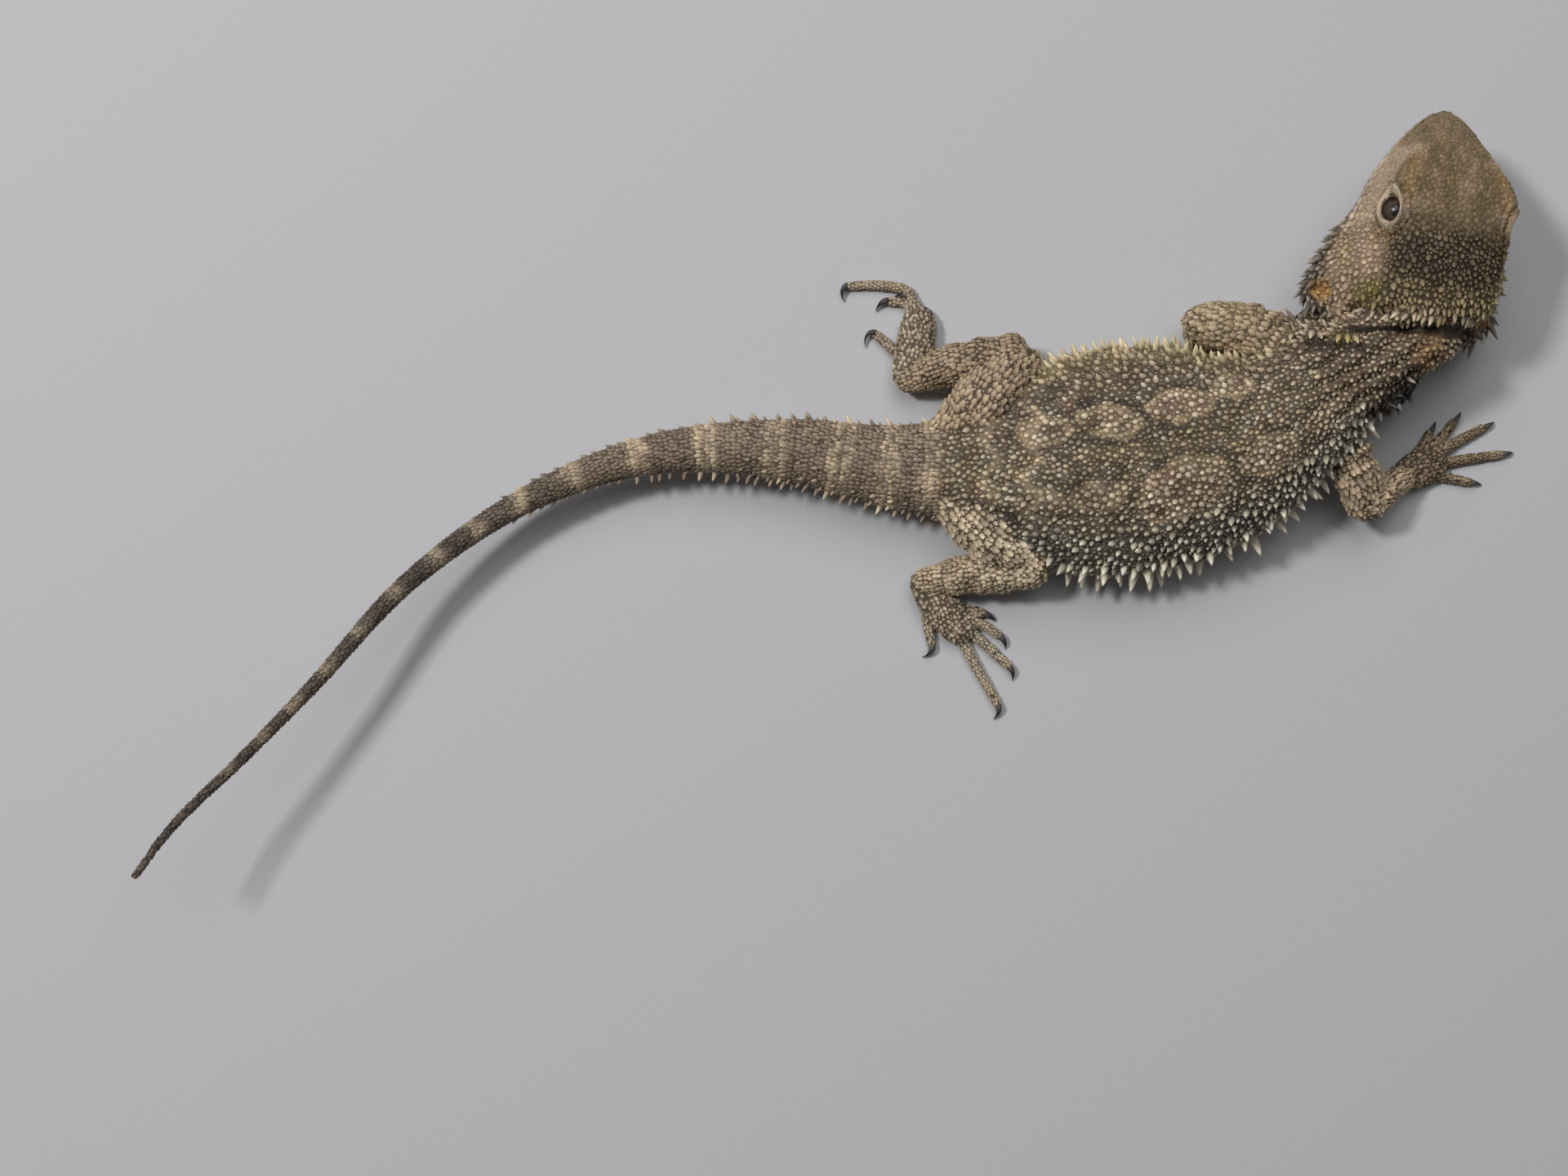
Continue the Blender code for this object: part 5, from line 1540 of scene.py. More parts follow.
def spread(shape, lengths, seed, uneven):
    """Sizes for many scales: a shape times each one's own length, with a little spread."""
    draw = np.random.default_rng(seed)
    lengths = lengths * draw.uniform(1 - uneven, 1 + uneven, len(lengths))
    return lengths[:, None] * np.array(shape)


def cover(coat, number, form, shape, start, stop, step, gap, seed, reach=0.42, **limits):
    """Rows of one form over part of a guide, each scale as large as the gap between scales there."""
    bright = limits.pop("bright", None)
    uneven = limits.pop("uneven", SIZE_SPREAD)
    guide = PARTS[number][1]
    places, turns = rows(guide, start, stop, step, gap, seed=seed, **limits)
    gaps = gap(places)
    sizes = spread(shape, gaps, seed, uneven)
    points = guide.spot(places, turns)
    return grow(coat, form, points, sizes, gaps * reach, only=number, bright=bright)


# %% [markdown]
# Rows would look ruled on the head and in the folds. There, points are drawn at random over the skin,
# evenly by area, and each becomes a scale only where it still finds room, which packs them as closely
# and as unevenly as real ones.

# %% Scales at random
CROWDING = 6.0
skin.data.calc_loop_triangles()
corners = np.empty(len(skin.data.loop_triangles) * 3, np.int32)
skin.data.loop_triangles.foreach_get("vertices", corners)
skin_triangles = corners.reshape(-1, 3)
sides_of = [skin_points[skin_triangles[:, k]] - skin_points[skin_triangles[:, 0]] for k in (1, 2)]
triangle_areas = np.linalg.norm(np.cross(*sides_of), axis=1) / 2
triangle_parts = skin_parts[skin_triangles[:, 0]]
triangle_places = skin_lengths[skin_triangles[:, 0]]
triangle_backs = np.abs(np.mod(skin_turns[skin_triangles[:, 0]] + 0.25, 1) - 0.5)
print("skin area:", round(triangle_areas.sum() / 100), "square centimetres")


def skin_sample(chosen, spacing, seed):
    """Points drawn at random over some triangles, many for each square of the spacing."""
    draw = np.random.default_rng(seed)
    areas = triangle_areas[chosen]
    count = int(CROWDING * areas.sum() / spacing**2)
    hits = chosen[draw.choice(len(chosen), count, p=areas / areas.sum())]
    first, second = draw.uniform(0, 1, (2, count, 1))
    over = first + second > 1
    first, second = np.where(over, 1 - first, first), np.where(over, 1 - second, second)
    start = skin_points[skin_triangles[hits, 0]]
    return start + sides_of[0][hits] * first + sides_of[1][hits] * second, hits


def scatter(coat, numbers, form, shape, start, stop, spacing, seed, band=(0, 1), where=None, **look):
    """Scales of one form at random between two places and two turns from the middle of the back."""
    mine = np.isin(triangle_parts, numbers)
    mine &= (triangle_places >= start) & (triangle_places < stop)
    mine &= (triangle_backs >= band[0]) & (triangle_backs < band[1])
    closest = float(np.min(spacing(np.array([start, stop]))))
    points, hits = skin_sample(np.flatnonzero(mine), closest, seed)
    gaps = spacing(triangle_places[hits])
    if where is not None:
        free = where(points)
        points, gaps = points[free], gaps[free]
    sizes = spread(shape, gaps, seed, look.get("uneven", SIZE_SPREAD))
    return grow(coat, form, points, sizes, gaps * look.get("reach", 0.45), bright=look.get("bright"))


# %% [markdown]
# ## Spines
#
# Bearded dragons carry spines where a bite would land: a dense fringe of ivory cones along each
# flank, rows across the nape, long clusters at the corners of the jaw, and short ones on the beard
# and the edges of the tail. A row of ivory teeth crosses the neck, and dark points edge the throat.
# They come first, because the small scales fill the room that they leave. Each row of a table gives
# where the spines stand, their half width and length, and how far they lean.

# %% Spines of the flanks and tail
BODY, NECK, CROWN_PART, JAW_PART, POUCH_PART = range(5)
FLANK_ROWS = (
    (VENT + 12, SHOULDER - 2, (184,), 4.3, (1.5, 6.4), -0.05),
    (VENT + 12, SHOULDER - 3, (173,), 4.3, (1.35, 4.4), 0.05),
    (VENT + 12, SHOULDER - 2, (163,), 4.2, (1.2, 3.0), 0.15),
    (VENT + 2, SHOULDER - 2, (-4,), 3.6, (1.15, 4.6), 0.0),
    (VENT + 4, SHOULDER - 3, (6,), 3.3, (1.0, 3.4), 0.1),
    (VENT + 2, SHOULDER - 2, (15,), 3.2, (0.95, 2.4), 0.2),
    (VENT + 12, SHOULDER - 2, (-15, 195), 4.6, (1.1, 3.0), 0.1),
    (VENT - 68, VENT - 14, (6,), 5.6, (0.95, 2.9), 0.3),
    (VENT - 92, VENT - 2, (178,), 3.8, (0.9, 3.2), 0.1),
    (VENT - 60, VENT, (166, 16), 3.6, (0.65, 2.0), 0.3),
    (VENT - 130, VENT - 70, (8, 172), 4.4, (0.75, 1.9), 0.8),
    (VENT - 60, VENT, (36, 144), 5.6, (0.8, 1.4), 0.9),
    (VENT - 58, VENT, (66, 114), 5.8, (0.8, 1.4), 0.9),
)


def row_points(guide, start, stop, angles, spacing, draw):
    """Points along rows that run at some angles round a guide, 0 being its left, a little uneven."""
    places, turns = [], []
    for angle in angles:
        place = start + spacing * draw.uniform(0, 0.5)
        while place < stop:
            places.append(place)
            turns.append((angle + draw.uniform(-3, 3)) / 360)
            place += spacing * draw.uniform(0.65, 1.35)
    return guide.spot(np.array(places), np.array(turns)), len(places)


SPINE_GAIN = 1.15
SPINE_ROOM = 0.8
FLANK_SPREAD, HEAD_SPREAD = (0.8, 1.12), (0.85, 1.12)
trunk_spines = Coat("trunk_spines", [BODY, NECK])
tail_spines = Coat("tail_spines", [BODY])
draw = np.random.default_rng(81)
for start, stop, angles, spacing, (radius, length), lean in FLANK_ROWS:
    points, count = row_points(body, start, stop, angles, spacing, draw)
    sizes = np.array([radius, radius, length]) * draw.uniform(*FLANK_SPREAD, (count, 1))
    coat = trunk_spines if start > VENT else tail_spines
    grow(coat, SPINE, points, sizes, radius * SPINE_ROOM, lean=lean, bright=SPINE_GAIN)
print("spines on trunk and tail:", trunk_spines.scales + tail_spines.scales)

# %% Spines of the nape, jaw, beard, pouch and neck
NAPE_ROWS = (
    (59.4, 1.0, 23, (0.95, 3.0), 1.3),
    (57.4, 1.0, 24, (0.85, 2.2), 1.0),
    (55.2, 0.98, 24, (0.75, 1.6), 0.8),
)
NAPE_UNEVEN = 0.7
NAPE_FALL = 0.8
NAPE_BOW = 1.2
JAW_ROWS = (
    (4.2, (43.0, 47.0, 51.0), (0.75, 2.0), 0.6),
    (0.6, (45.5, 49.5, 59.0), (0.8, 2.6), 0.6),
    (-3.0, (38.0, 42.0, 46.0, 50.0, 59.0), (0.85, 3.2), 0.7),
    (-5.6, (36.0, 39.5, 43.0, 46.5, 50.0, 53.5, 57.0, 60.5), (0.85, 2.8), 0.7),
    (-8.4, (34.0, 37.5, 41.0, 44.5, 48.0, 51.5, 55.0, 58.5), (0.85, 3.4), 0.7),
    (-11.0, (33.0, 36.5, 40.0, 43.5, 47.0, 50.5, 54.0, 57.5), (0.8, 2.6), 0.7),
    (-13.4, (35.0, 39.0, 43.0, 47.0, 51.0, 55.0), (0.8, 2.6), 0.7),
)
CORNER_ROWS = (
    (-3.8, (50.5, 53.5, 56.5, 59.5, 62.5), (0.95, 5.2), 0.7),
    (-6.4, (49.0, 52.0, 55.0, 58.0, 61.0), (1.0, 5.8), 0.7),
    (-9.0, (50.0, 53.0, 56.0, 59.0, 62.0), (0.95, 5.0), 0.7),
)
CORNER_PALE = 0.5
TUFT_X = 147.5
TUFT_ROWS = ((75.5, 78.0, 80.5, 83.0, 85.5), (9.0, 13.0, 17.0, 21.0))
TUFT_WAY = np.array((-0.95, -0.25, 0.1))
TUFT_SIZE = (0.95, 5.6)
EDGE_PLACES = ((206.9, 88.1), (206.2, 84.8), (205.0, 81.8), (203.8, 79.0), (202.2, 76.2), (199.7, 73.0))
EDGE_HEIGHT = 22.0
EDGE_SIZE = (0.9, 3.4)
EDGE_WAY = np.array((0.88, -0.47, 0.05))
TEETH = (144.0, 146.3, 148.8, 151.0, 153.4, 155.6, 157.8, 160.0)
TOOTH_SIZE = (1.05, 3.9)
TOOTH_LEAN = 1.3
TOOTH_WAY = np.array((-0.25, -0.97, 0.0))
THROAT_PLACES = (
    *((2, 2), (5, 3), (8, 2.5), (11, 3), (3.5, 5)),
    *((6.5, 5.5), (9.5, 5.5), (12.5, 6), (5, 7.5), (8, 8)),
)
THROAT_SIZE = (0.75, 2.8)
THROAT_TIPS = 7.0
NECK_ROWS = ((-10, (0.95, 3.6)), (4, (0.85, 2.8)), (18, (0.8, 2.4)), (36, (0.75, 2.0)))
NECK_SPACING = 3.8
POUCH_RINGS = ((15.0, 11, 4.2), (11.0, 12, 3.8), (6.5, 12, 3.0))
HEAD_DEEPEST, POUCH_DEEPEST = 4, 3
ABOVE = 80

head_spines = Coat("head_spines", [CROWN_PART, JAW_PART, POUCH_PART, NECK])
draw = np.random.default_rng(82)


def set_head_spines(form, points, size, lean, bright=None, way=None, deepest=HEAD_DEEPEST):
    points = as_rows(points)
    sizes = np.array([size[0], size[0], size[1]]) * draw.uniform(*HEAD_SPREAD, (len(points), 1))
    grow(head_spines, form, points, sizes, size[0] * SPINE_ROOM, None, lean, bright, deepest, way)


def set_jaw_spines(jaw_rows, form, uneven, sagging, bright=None):
    """Rows of spines on both sides of the beard, which hang with it where it sags."""
    for height, places, size, lean in jaw_rows:
        points = []
        for u in places:
            width = hermite(JAW_STATIONS, JAW_LENGTHS, (u,))[0][1]
            sag = sagging * BEARD_SAG * beard_part(u)
            nudge = draw.uniform(-uneven, uneven, 2)
            points += [in_head(u + nudge[0], sag + way * width, height + nudge[1]) for way in (1, -1)]
        set_head_spines(form, points, size, lean, bright)


def set_from_above(x, y, size, lean, bright, way):
    """One spine on the skin that is seen at a place from above, if there is any."""
    top = skin_tree.ray_cast(Vector((x, y, ABOVE)), -UP)[0]
    if top is not None:
        set_head_spines(SPINE, [top], size, lean, bright, way)


for u, reach, count, size, lean in NAPE_ROWS:
    _, brow, brow_height, crown_height = hermite(CROWN_STATIONS, CROWN_LENGTHS, (u,))[0][1:]
    points = []
    for step in range(count):
        across = reach * (2 * step / (count - 1) - 1)
        height = crown_height - (crown_height - NAPE_FALL * brow_height) * across * across
        nudge = draw.uniform(-NAPE_UNEVEN, NAPE_UNEVEN, 2)
        back = u - NAPE_BOW * across * across + NAPE_SLANT * brow * across + nudge[0]
        points.append(in_head(back, brow * across + nudge[1], height))
    set_head_spines(SPINE, points, size, lean, SPINE_GAIN)
set_jaw_spines(JAW_ROWS, THORN, 0.6, 1)
set_jaw_spines(CORNER_ROWS, SPINE, 0.7, 0, CORNER_PALE)
tuft = [(TUFT_X, y, z) for y in TUFT_ROWS[0] for z in TUFT_ROWS[1]]
set_head_spines(SPINE, tuft, TUFT_SIZE, 0.6, CORNER_PALE, TUFT_WAY)
edge = [(x, y, EDGE_HEIGHT) for x, y in EDGE_PLACES]
set_head_spines(SPINE, edge, EDGE_SIZE, 0.5, CORNER_PALE, EDGE_WAY)
for x in TEETH:
    y = TEETH_ROW[1] + TEETH_ROW[2] * (x - TEETH_ROW[0]) + draw.uniform(-0.6, 0.6)
    set_from_above(x, y, TOOTH_SIZE, TOOTH_LEAN, SPINE_GAIN, TOOTH_WAY)
for along, beyond in THROAT_PLACES:
    x = THROAT_EDGE[0] + THROAT_WAY[0] * beyond + THROAT_WAY[1] * along
    y = THROAT_EDGE[1] + THROAT_WAY[1] * beyond - THROAT_WAY[0] * along
    set_from_above(x, y, THROAT_SIZE, 0.7, THROAT_TIPS, np.array((*THROAT_WAY, 0.0)))
for degrees, size in NECK_ROWS:
    span = (4, neck.along[-1] - 8)
    points, _ = row_points(neck, *span, (degrees, 180 - degrees), NECK_SPACING, draw)
    set_head_spines(SPINE, points, size, 0.6, deepest=DEEPEST)
for place, count, length in POUCH_RINGS:
    turns = (np.arange(count) + draw.uniform(-JITTER, JITTER, count)) / count
    points = pouch.spot(np.full(count, pouch.along[-1] - place + 6), turns)
    size = np.array([0.8, 0.8, length])
    grow(head_spines, THORN, points, size, 0.7, lean=0.5, deepest=POUCH_DEEPEST)
print("spines on head and neck:", head_spines.scales)

# %% [markdown]
# ## Lips, lids and the pebbles of the head
#
# Plates edge the mouth above and below. Small beads rim the lids. The rest of the head is paved with
# pebbles: fine on the snout, coarser on the crown and drawn up into low cones towards the nape.

# %% Plates along the lips and beads round the eyes
LABIALS = 15
LABIAL_START, LABIAL_STEP = 1.4, 2.45
LABIAL_ROWS = ((1.35, (1.25, 0.85, 0.5)), (-1.35, (1.25, 0.85, 0.45)))
ROSTRAL_U, ROSTRAL_ACROSS, ROSTRAL_HEIGHT = -0.5, 1.1, 1.3
ROSTRAL_SIZE = (0.9, 0.9, 0.25)
LID_BEADS = 26
LID_RINGS = ((1.76, 0.55, 0.34), (2.08, 0.55, 0.3))
PLATE_DEEPEST = 3
head_plates = Coat("head_plates", [CROWN_PART, JAW_PART])


def set_plates(form, points, size, reach):
    grow(head_plates, form, as_rows(points), np.array(size), reach, deepest=PLATE_DEEPEST)


for height, size in LABIAL_ROWS:
    points = []
    for number in range(LABIALS):
        u = LABIAL_START + LABIAL_STEP * number
        lip = hermite(CROWN_STATIONS, CROWN_LENGTHS, (u,))[0][1]
        points += [in_head(u, way * lip, height) for way in (1, -1)]
    set_plates(SHIELD, points, size, 0.75)
corners = [(across, height) for across in (-1, 1) for height in (1, -1)]
rostral = [in_head(ROSTRAL_U, x * ROSTRAL_ACROSS, z * ROSTRAL_HEIGHT) for x, z in corners]
set_plates(SHIELD, rostral, ROSTRAL_SIZE, 0.6)
for side in (1, -1):
    middle, forward, upward, outward = eye_axes(side)
    for size, radius, height in LID_RINGS:
        points = []
        for number in range(LID_BEADS):
            x, z = slit_point((number + 0.5) / LID_BEADS, size)
            rise = math.sqrt(max(LID_RADIUS**2 - x * x - z * z, 0.0))
            points.append(middle + forward * x + upward * z + outward * rise)
        set_plates(BEAD, points, (radius, radius, height), 0.36)
print("plates and beads:", head_plates.scales)

# %% Pebbles and cones of the head
FACE_END = 36.0
HEAD_STEP = tapered(1.1, 1.5, 8, FACE_END)
KNOB_STEP = tapered(1.7, 2.1, FACE_END, 56)
REAR_STEP = tapered(1.0, 1.15, FACE_END, 56)
BEARD_STEP = tapered(1.3, 1.7, 31, 60)
PEBBLE_SHAPE = (0.6, 0.58, 0.2)
KNOB_SHAPE = (0.52, 0.44, 0.44)
REAR_SHAPE = (0.6, 0.5, 0.5)
BEARD_SHAPE = (0.64, 0.5, 0.66)


def face_contrast(points):
    """The pebbles of the face vary in soft patches and keep clear of a dotted look."""
    patches = mottle(points, 2.2, 95) + 0.6 * mottle(points, 6, 96)
    return np.clip(0.5 + 0.16 * patches, 0, 1.0)


def knobs(points):
    return mottle(points, 4.5, 97) > -0.25


scatter(head_plates, [CROWN_PART], PLATE, PEBBLE_SHAPE, -1, FACE_END, HEAD_STEP, 91, bright=face_contrast)
scatter(head_plates, [CROWN_PART], CONE, KNOB_SHAPE, FACE_END, 61, KNOB_STEP, 92, where=knobs, uneven=0.3)
scatter(head_plates, [CROWN_PART], CONE, REAR_SHAPE, FACE_END, 61, REAR_STEP, 93, uneven=0.25)
scatter(head_plates, [JAW_PART], PLATE, PEBBLE_SHAPE, -1, 31, HEAD_STEP, 94, bright=face_contrast)
scatter(head_plates, [JAW_PART], CONE, BEARD_SHAPE, 31, 67, BEARD_STEP, 95, uneven=0.25)
print("scales on the head:", head_plates.scales)

# %% [markdown]
# ## The trunk and tail
#
# The back has scales of two kinds: keeled cones with pale tips and small granules that fill the skin
# between them. The cones are large and well apart on the flanks and inside the ovals, and fine along
# the middle. The rims of the ovals carry granules alone. The tail is ringed by overlapping keeled
# tiles that get smaller towards its tip.

# %% Cones and granules of the trunk, tiles of the tail
OVAL_STEP = tapered(2.0, 1.9, VENT, SHOULDER)
FLANK_STEP = tapered(2.25, 2.15, VENT, SHOULDER)
BACK_STEP = tapered(1.75, 1.55, VENT, SHOULDER)
GRAIN_STEP = tapered(1.05, 1.0, VENT, SHOULDER)
BELLY_STEP = tapered(2.0, 2.2, VENT, SHOULDER)
TILE_STEP = tapered(1.25, 1.6, 0, VENT)
TILE_GAP = tapered(1.0, 1.3, 0, VENT)
UPPER_SIDE = 0.31
BACK_SIDE = 0.1
OVAL_SHAPE = (0.54, 0.5, 0.56)
FLANK_SHAPE = (0.52, 0.45, 0.62)
BACK_SHAPE = (0.56, 0.46, 0.46)
GRAIN_SHAPE = (0.56, 0.48, 0.4)
trunk_cones = Coat("trunk_cones", [BODY, NECK])
trunk_grains = Coat("trunk_grains", [BODY, NECK])
tail_tiles = Coat("tail_tiles", [BODY])


def in_ovals(points):
    return oval_fields(points)[2] > 0.4


def off_rims(points):
    return oval_fields(points)[1] < 0.5


def grain_paleness(points):
    """The granules are dull but for the rims of the ovals, where they are as pale as the cones."""
    _, rim, inside = oval_fields(points)
    return np.clip(0.45 + 0.6 * rim - 0.05 * inside + 0.2 * mottle(points, 5, 108), 0, 1)


BELLY_SHAPE = (0.56, 0.5, 0.22)
TAIL_SHAPE = (0.8, 0.54, 0.4)
NECK_END = float(neck.along[-1])
NECK_STEP = tapered(1.75, 1.5, 0, NECK_END)
NECK_GRAIN = tapered(1.05, 1.0, 0, NECK_END)
over, middle, flanks = (0, UPPER_SIDE), (0, BACK_SIDE), (BACK_SIDE, UPPER_SIDE)
cones, grains = (trunk_cones, [BODY], CONE), (trunk_grains, [BODY], CONE)
dull = {"uneven": 0.3, "bright": grain_paleness}
under = {"first": UPPER_SIDE, "last": 1 - UPPER_SIDE}
unruly = {"uneven": 0.2, "jitter": 0.22}
scatter(*cones, OVAL_SHAPE, VENT, SHOULDER, OVAL_STEP, 100, over, in_ovals, uneven=0.3)
scatter(*cones, FLANK_SHAPE, VENT, SHOULDER, FLANK_STEP, 101, flanks, off_rims, uneven=0.3)
scatter(*cones, BACK_SHAPE, VENT, SHOULDER, BACK_STEP, 102, middle, off_rims, uneven=0.3)
scatter(*grains, GRAIN_SHAPE, VENT, SHOULDER, GRAIN_STEP, 103, over, **dull)
cover(trunk_grains, BODY, TILE, BELLY_SHAPE, VENT, SHOULDER, BELLY_STEP, BELLY_STEP, 104, **under)
cover(tail_tiles, BODY, TILE, TAIL_SHAPE, 0.4, VENT, TILE_STEP, TILE_GAP, 105, 0.34, **unruly)
scatter(trunk_cones, [NECK], CONE, FLANK_SHAPE, 0.0, NECK_END, NECK_STEP, 106, uneven=0.25)
dull = {"uneven": 0.25, "bright": 0.45}
scatter(trunk_grains, [NECK], CONE, GRAIN_SHAPE, 0.0, NECK_END, NECK_GRAIN, 107, **dull)
print("trunk and tail scales:", trunk_cones.scales + trunk_grains.scales + tail_tiles.scales)

# %% [markdown]
# ## Legs, feet and pouch
#
# Legs carry keeled, overlapping scales that point towards the foot. They get finer over the hands and
# feet, and each toe is ringed by small ones.

# %% Scales of the limbs
LIMB_TILE = (0.73, 0.56, 0.42)
PALM_TILE = (0.62, 0.56, 0.4)
UPPER_STEPS, LOWER_STEPS = (2.2, 1.9), (1.8, 1.4)
GAP_SHARE = 0.86
FOOT_STEP = tapered(1.3, 1.1, 0, 14)
FOOT_GAP = tapered(1.15, 1.0, 0, 14)
PALM_STEP = tapered(1.5, 1.3, 0, 14)


def numbers_of(kind):
    return [number for number, other in enumerate(PART_KINDS) if other == kind]


def whole(number):
    """The lengths at which a part starts and ends."""
    along = PARTS[number][1].along
    return float(along[0]), float(along[-1])


rough = {"uneven": 0.28, "jitter": 0.22}
limb_tiles = Coat("limb_tiles", numbers_of("limb"))
foot_tiles = Coat("foot_tiles", numbers_of("palm") + numbers_of("toe"))
pouch_scales = Coat("pouch_scales", [POUCH_PART])
for name, number in zip(LIMBS, limb_tiles.numbers):
    near, far = UPPER_STEPS if name.startswith(("upper", "thigh")) else LOWER_STEPS
    run = whole(number)
    step, gap = tapered(near, far, *run), tapered(near * GAP_SHARE, far * GAP_SHARE, *run)
    cover(limb_tiles, number, LEAF, LIMB_TILE, *run, step, gap, 110 + number, 0.34, **rough)
for number in foot_tiles.numbers:
    start, stop = whole(number)
    if PART_KINDS[number] == "palm":
        palm = (PALM_TILE, start, stop, PALM_STEP, PALM_STEP)
        cover(foot_tiles, number, CONE, *palm, 130 + number, 0.4, **rough)
    else:
        toe = (LIMB_TILE, start, stop, FOOT_STEP, FOOT_GAP)
        cover(foot_tiles, number, LEAF, *toe, 130 + number, 0.36)
start, stop = whole(POUCH_PART)
POUCH_STEP = tapered(1.7, 1.6, 0, stop)
run = (start, stop, POUCH_STEP, POUCH_STEP)
cover(pouch_scales, POUCH_PART, CONE, FLANK_SHAPE, *run, 109, bright=0.3)
print("scales on legs and feet:", limb_tiles.scales + foot_tiles.scales)

# %% [markdown]
# The folds where a leg, the neck or the pouch meets the body belong to no row. Points drawn at random
# over the whole skin fill what is still bare with granules, each only where it finds room.

# %% Fill what is bare
FILL_SPACING = 1.3
FILLS = (
    (head_plates, BEAD, (0.56, 0.56, 0.3), 0.44),
    (pouch_scales, PEBBLE, (0.6, 0.6, 0.45), 0.46),
    (trunk_grains, PEBBLE, (0.62, 0.62, 0.5), 0.48),
    (tail_tiles, PEBBLE, (0.62, 0.6, 0.45), 0.5),
    (limb_tiles, PEBBLE, (0.62, 0.62, 0.45), 0.5),
    (foot_tiles, PEBBLE, (0.5, 0.5, 0.36), 0.42),
)
fill, hits = skin_sample(np.arange(len(skin_triangles)), FILL_SPACING, 141)
fill_parts, fill_places = triangle_parts[hits], triangle_places[hits]
for coat, form, size, reach in FILLS:
    mine = np.isin(fill_parts, coat.numbers)
    if coat is trunk_grains:
        mine &= (fill_parts == NECK) | (fill_places > VENT)
    if coat is tail_tiles:
        mine &= fill_places <= VENT
    count = int(mine.sum())
    sizes = np.array(size) * np.random.default_rng(142).uniform(0.85, 1.15, (count, 1))
    added = grow(coat, form, fill[mine], sizes, reach, bright=0.5)
    print("filled", coat.name, "with", added, "granules")

# %% [markdown]
# ## Finishes
#
# Scales are dry horn with a faint satin gloss, brighter on the keels than in the seams. One function
# makes each finish: the stored markings give the colour, fine noise breaks it up, and a cell pattern
# gives the bare skin the look of granules too small to model. All patterns read object coordinates.

# %% Materials
CELL_SIZE = 0.9
GRAIN_STRENGTH = 0.8
SHEEN = 0.35


def new_material(name):
    material = bpy.data.materials.new(name)
    material.use_nodes = True
    nodes = material.node_tree.nodes
    return material, nodes, material.node_tree.links, nodes["Principled BSDF"]


def add_node(nodes, kind, **constants):
    """A node with constants set on the sockets that they are named after."""
    node = nodes.new(kind)
    for name, value in constants.items():
        node.inputs[name.replace("_", " ")].default_value = value
    return node


def join(links, *wires):
    """Link sockets, each wire given as a node, its output, the next node and its input."""
    for source, output, target, socket in wires:
        links.new(source.outputs[output], target.inputs[socket])


def scaly(name, roughness, speckle, grain_size, grain_depth, cells=False):
    """Horny skin: stored markings, a fine speckle, and a bump of grains or cells."""
    material, nodes, links, shader = new_material(name)
    markings = add_node(nodes, "ShaderNodeAttribute")
    markings.attribute_name = "Markings"
    where = add_node(nodes, "ShaderNodeTexCoord")
    noise = add_node(nodes, "ShaderNodeTexNoise", Scale=1 / (grain_size * MM), Detail=3.0)
    spots = {"From_Min": 0.3, "From_Max": 0.7, "To_Min": 1 - speckle, "To_Max": 1 + speckle}
    light = add_node(nodes, "ShaderNodeMapRange", **spots)
    colour = add_node(nodes, "ShaderNodeVectorMath")
    colour.operation = "SCALE"
    rough = add_node(nodes, "ShaderNodeMapRange", To_Min=roughness - 0.1, To_Max=roughness + 0.12)
    depth = {"Distance": grain_depth * MM, "Strength": GRAIN_STRENGTH}
    bumps = add_node(nodes, "ShaderNodeBump", **depth)
    join(
        links,
        (where, "Object", noise, "Vector"),
        (noise, "Fac", light, "Value"),
        (markings, "Color", colour, 0),
        (light, "Result", colour, "Scale"),
        (colour, "Vector", shader, "Base Color"),
        (noise, "Fac", rough, "Value"),
        (rough, "Result", shader, "Roughness"),
        (bumps, "Normal", shader, "Normal"),
    )
    if cells:
        pattern = add_node(nodes, "ShaderNodeTexVoronoi", Scale=1 / (CELL_SIZE * MM))
        bumps.invert = True
        join(links, (where, "Object", pattern, "Vector"), (pattern, "Distance", bumps, "Height"))
    else:
        join(links, (noise, "Fac", bumps, "Height"))
    shader.inputs["Specular IOR Level"].default_value = SHEEN
    return material


bare_skin = scaly("bare_skin", 0.62, 0.16, 0.7, 0.35, cells=True)
back_horn = scaly("back_scales", 0.56, 0.14, 0.5, 0.06)
head_horn = scaly("head_scales", 0.5, 0.10, 0.4, 0.04)
spine_horn = scaly("spine_horn", 0.46, 0.10, 0.5, 0.05)
limb_horn = scaly("limb_scales", 0.55, 0.12, 0.45, 0.05)

# %% Dress the skin and build the coats
FLESH = ["head", "lower_jaw", "beard", "neck", "torso", "tail_1", "tail_2", "tail_3", "tail_4"]
FLESH += [*LIMBS, *TOES]
DRESS = (
    (trunk_spines, spine_horn, "back_skin"),
    (tail_spines, spine_horn, "tail_skin"),
    (head_spines, spine_horn, "beard_skin"),
    (head_plates, head_horn, "head_skin"),
    (trunk_cones, back_horn, "back_skin"),
    (trunk_grains, back_horn, "back_skin"),
    (tail_tiles, back_horn, "tail_skin"),
    (limb_tiles, limb_horn, "limb_skin"),
    (foot_tiles, limb_horn, "limb_skin"),
    (pouch_scales, head_horn, "beard_skin"),
)


def dress(obj, material, stands_for=()):
    """Give a piece its finish and tie it to the frame."""
    obj.data.materials.clear()
    obj.data.materials.append(material)
    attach(obj, "root")
    if stands_for:
        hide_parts(*stands_for)


dress(skin, bare_skin, FLESH)
for coat, material, slot in DRESS:
    dress(coat.build(), material)
print("scales in all:", sum(coat.scales for coat, _, _ in DRESS))

# %% [markdown]
# ## Eyes
#
# The eyeball is a sphere whose pole looks where the eye looks, so that its rings are the rings of the
# iris: black pupil, thin paler edge, grey-brown iris with fine spokes, dark limbus. The cornea bulges
# a little over the iris, and a thin clear coat gives it a soft wet look.

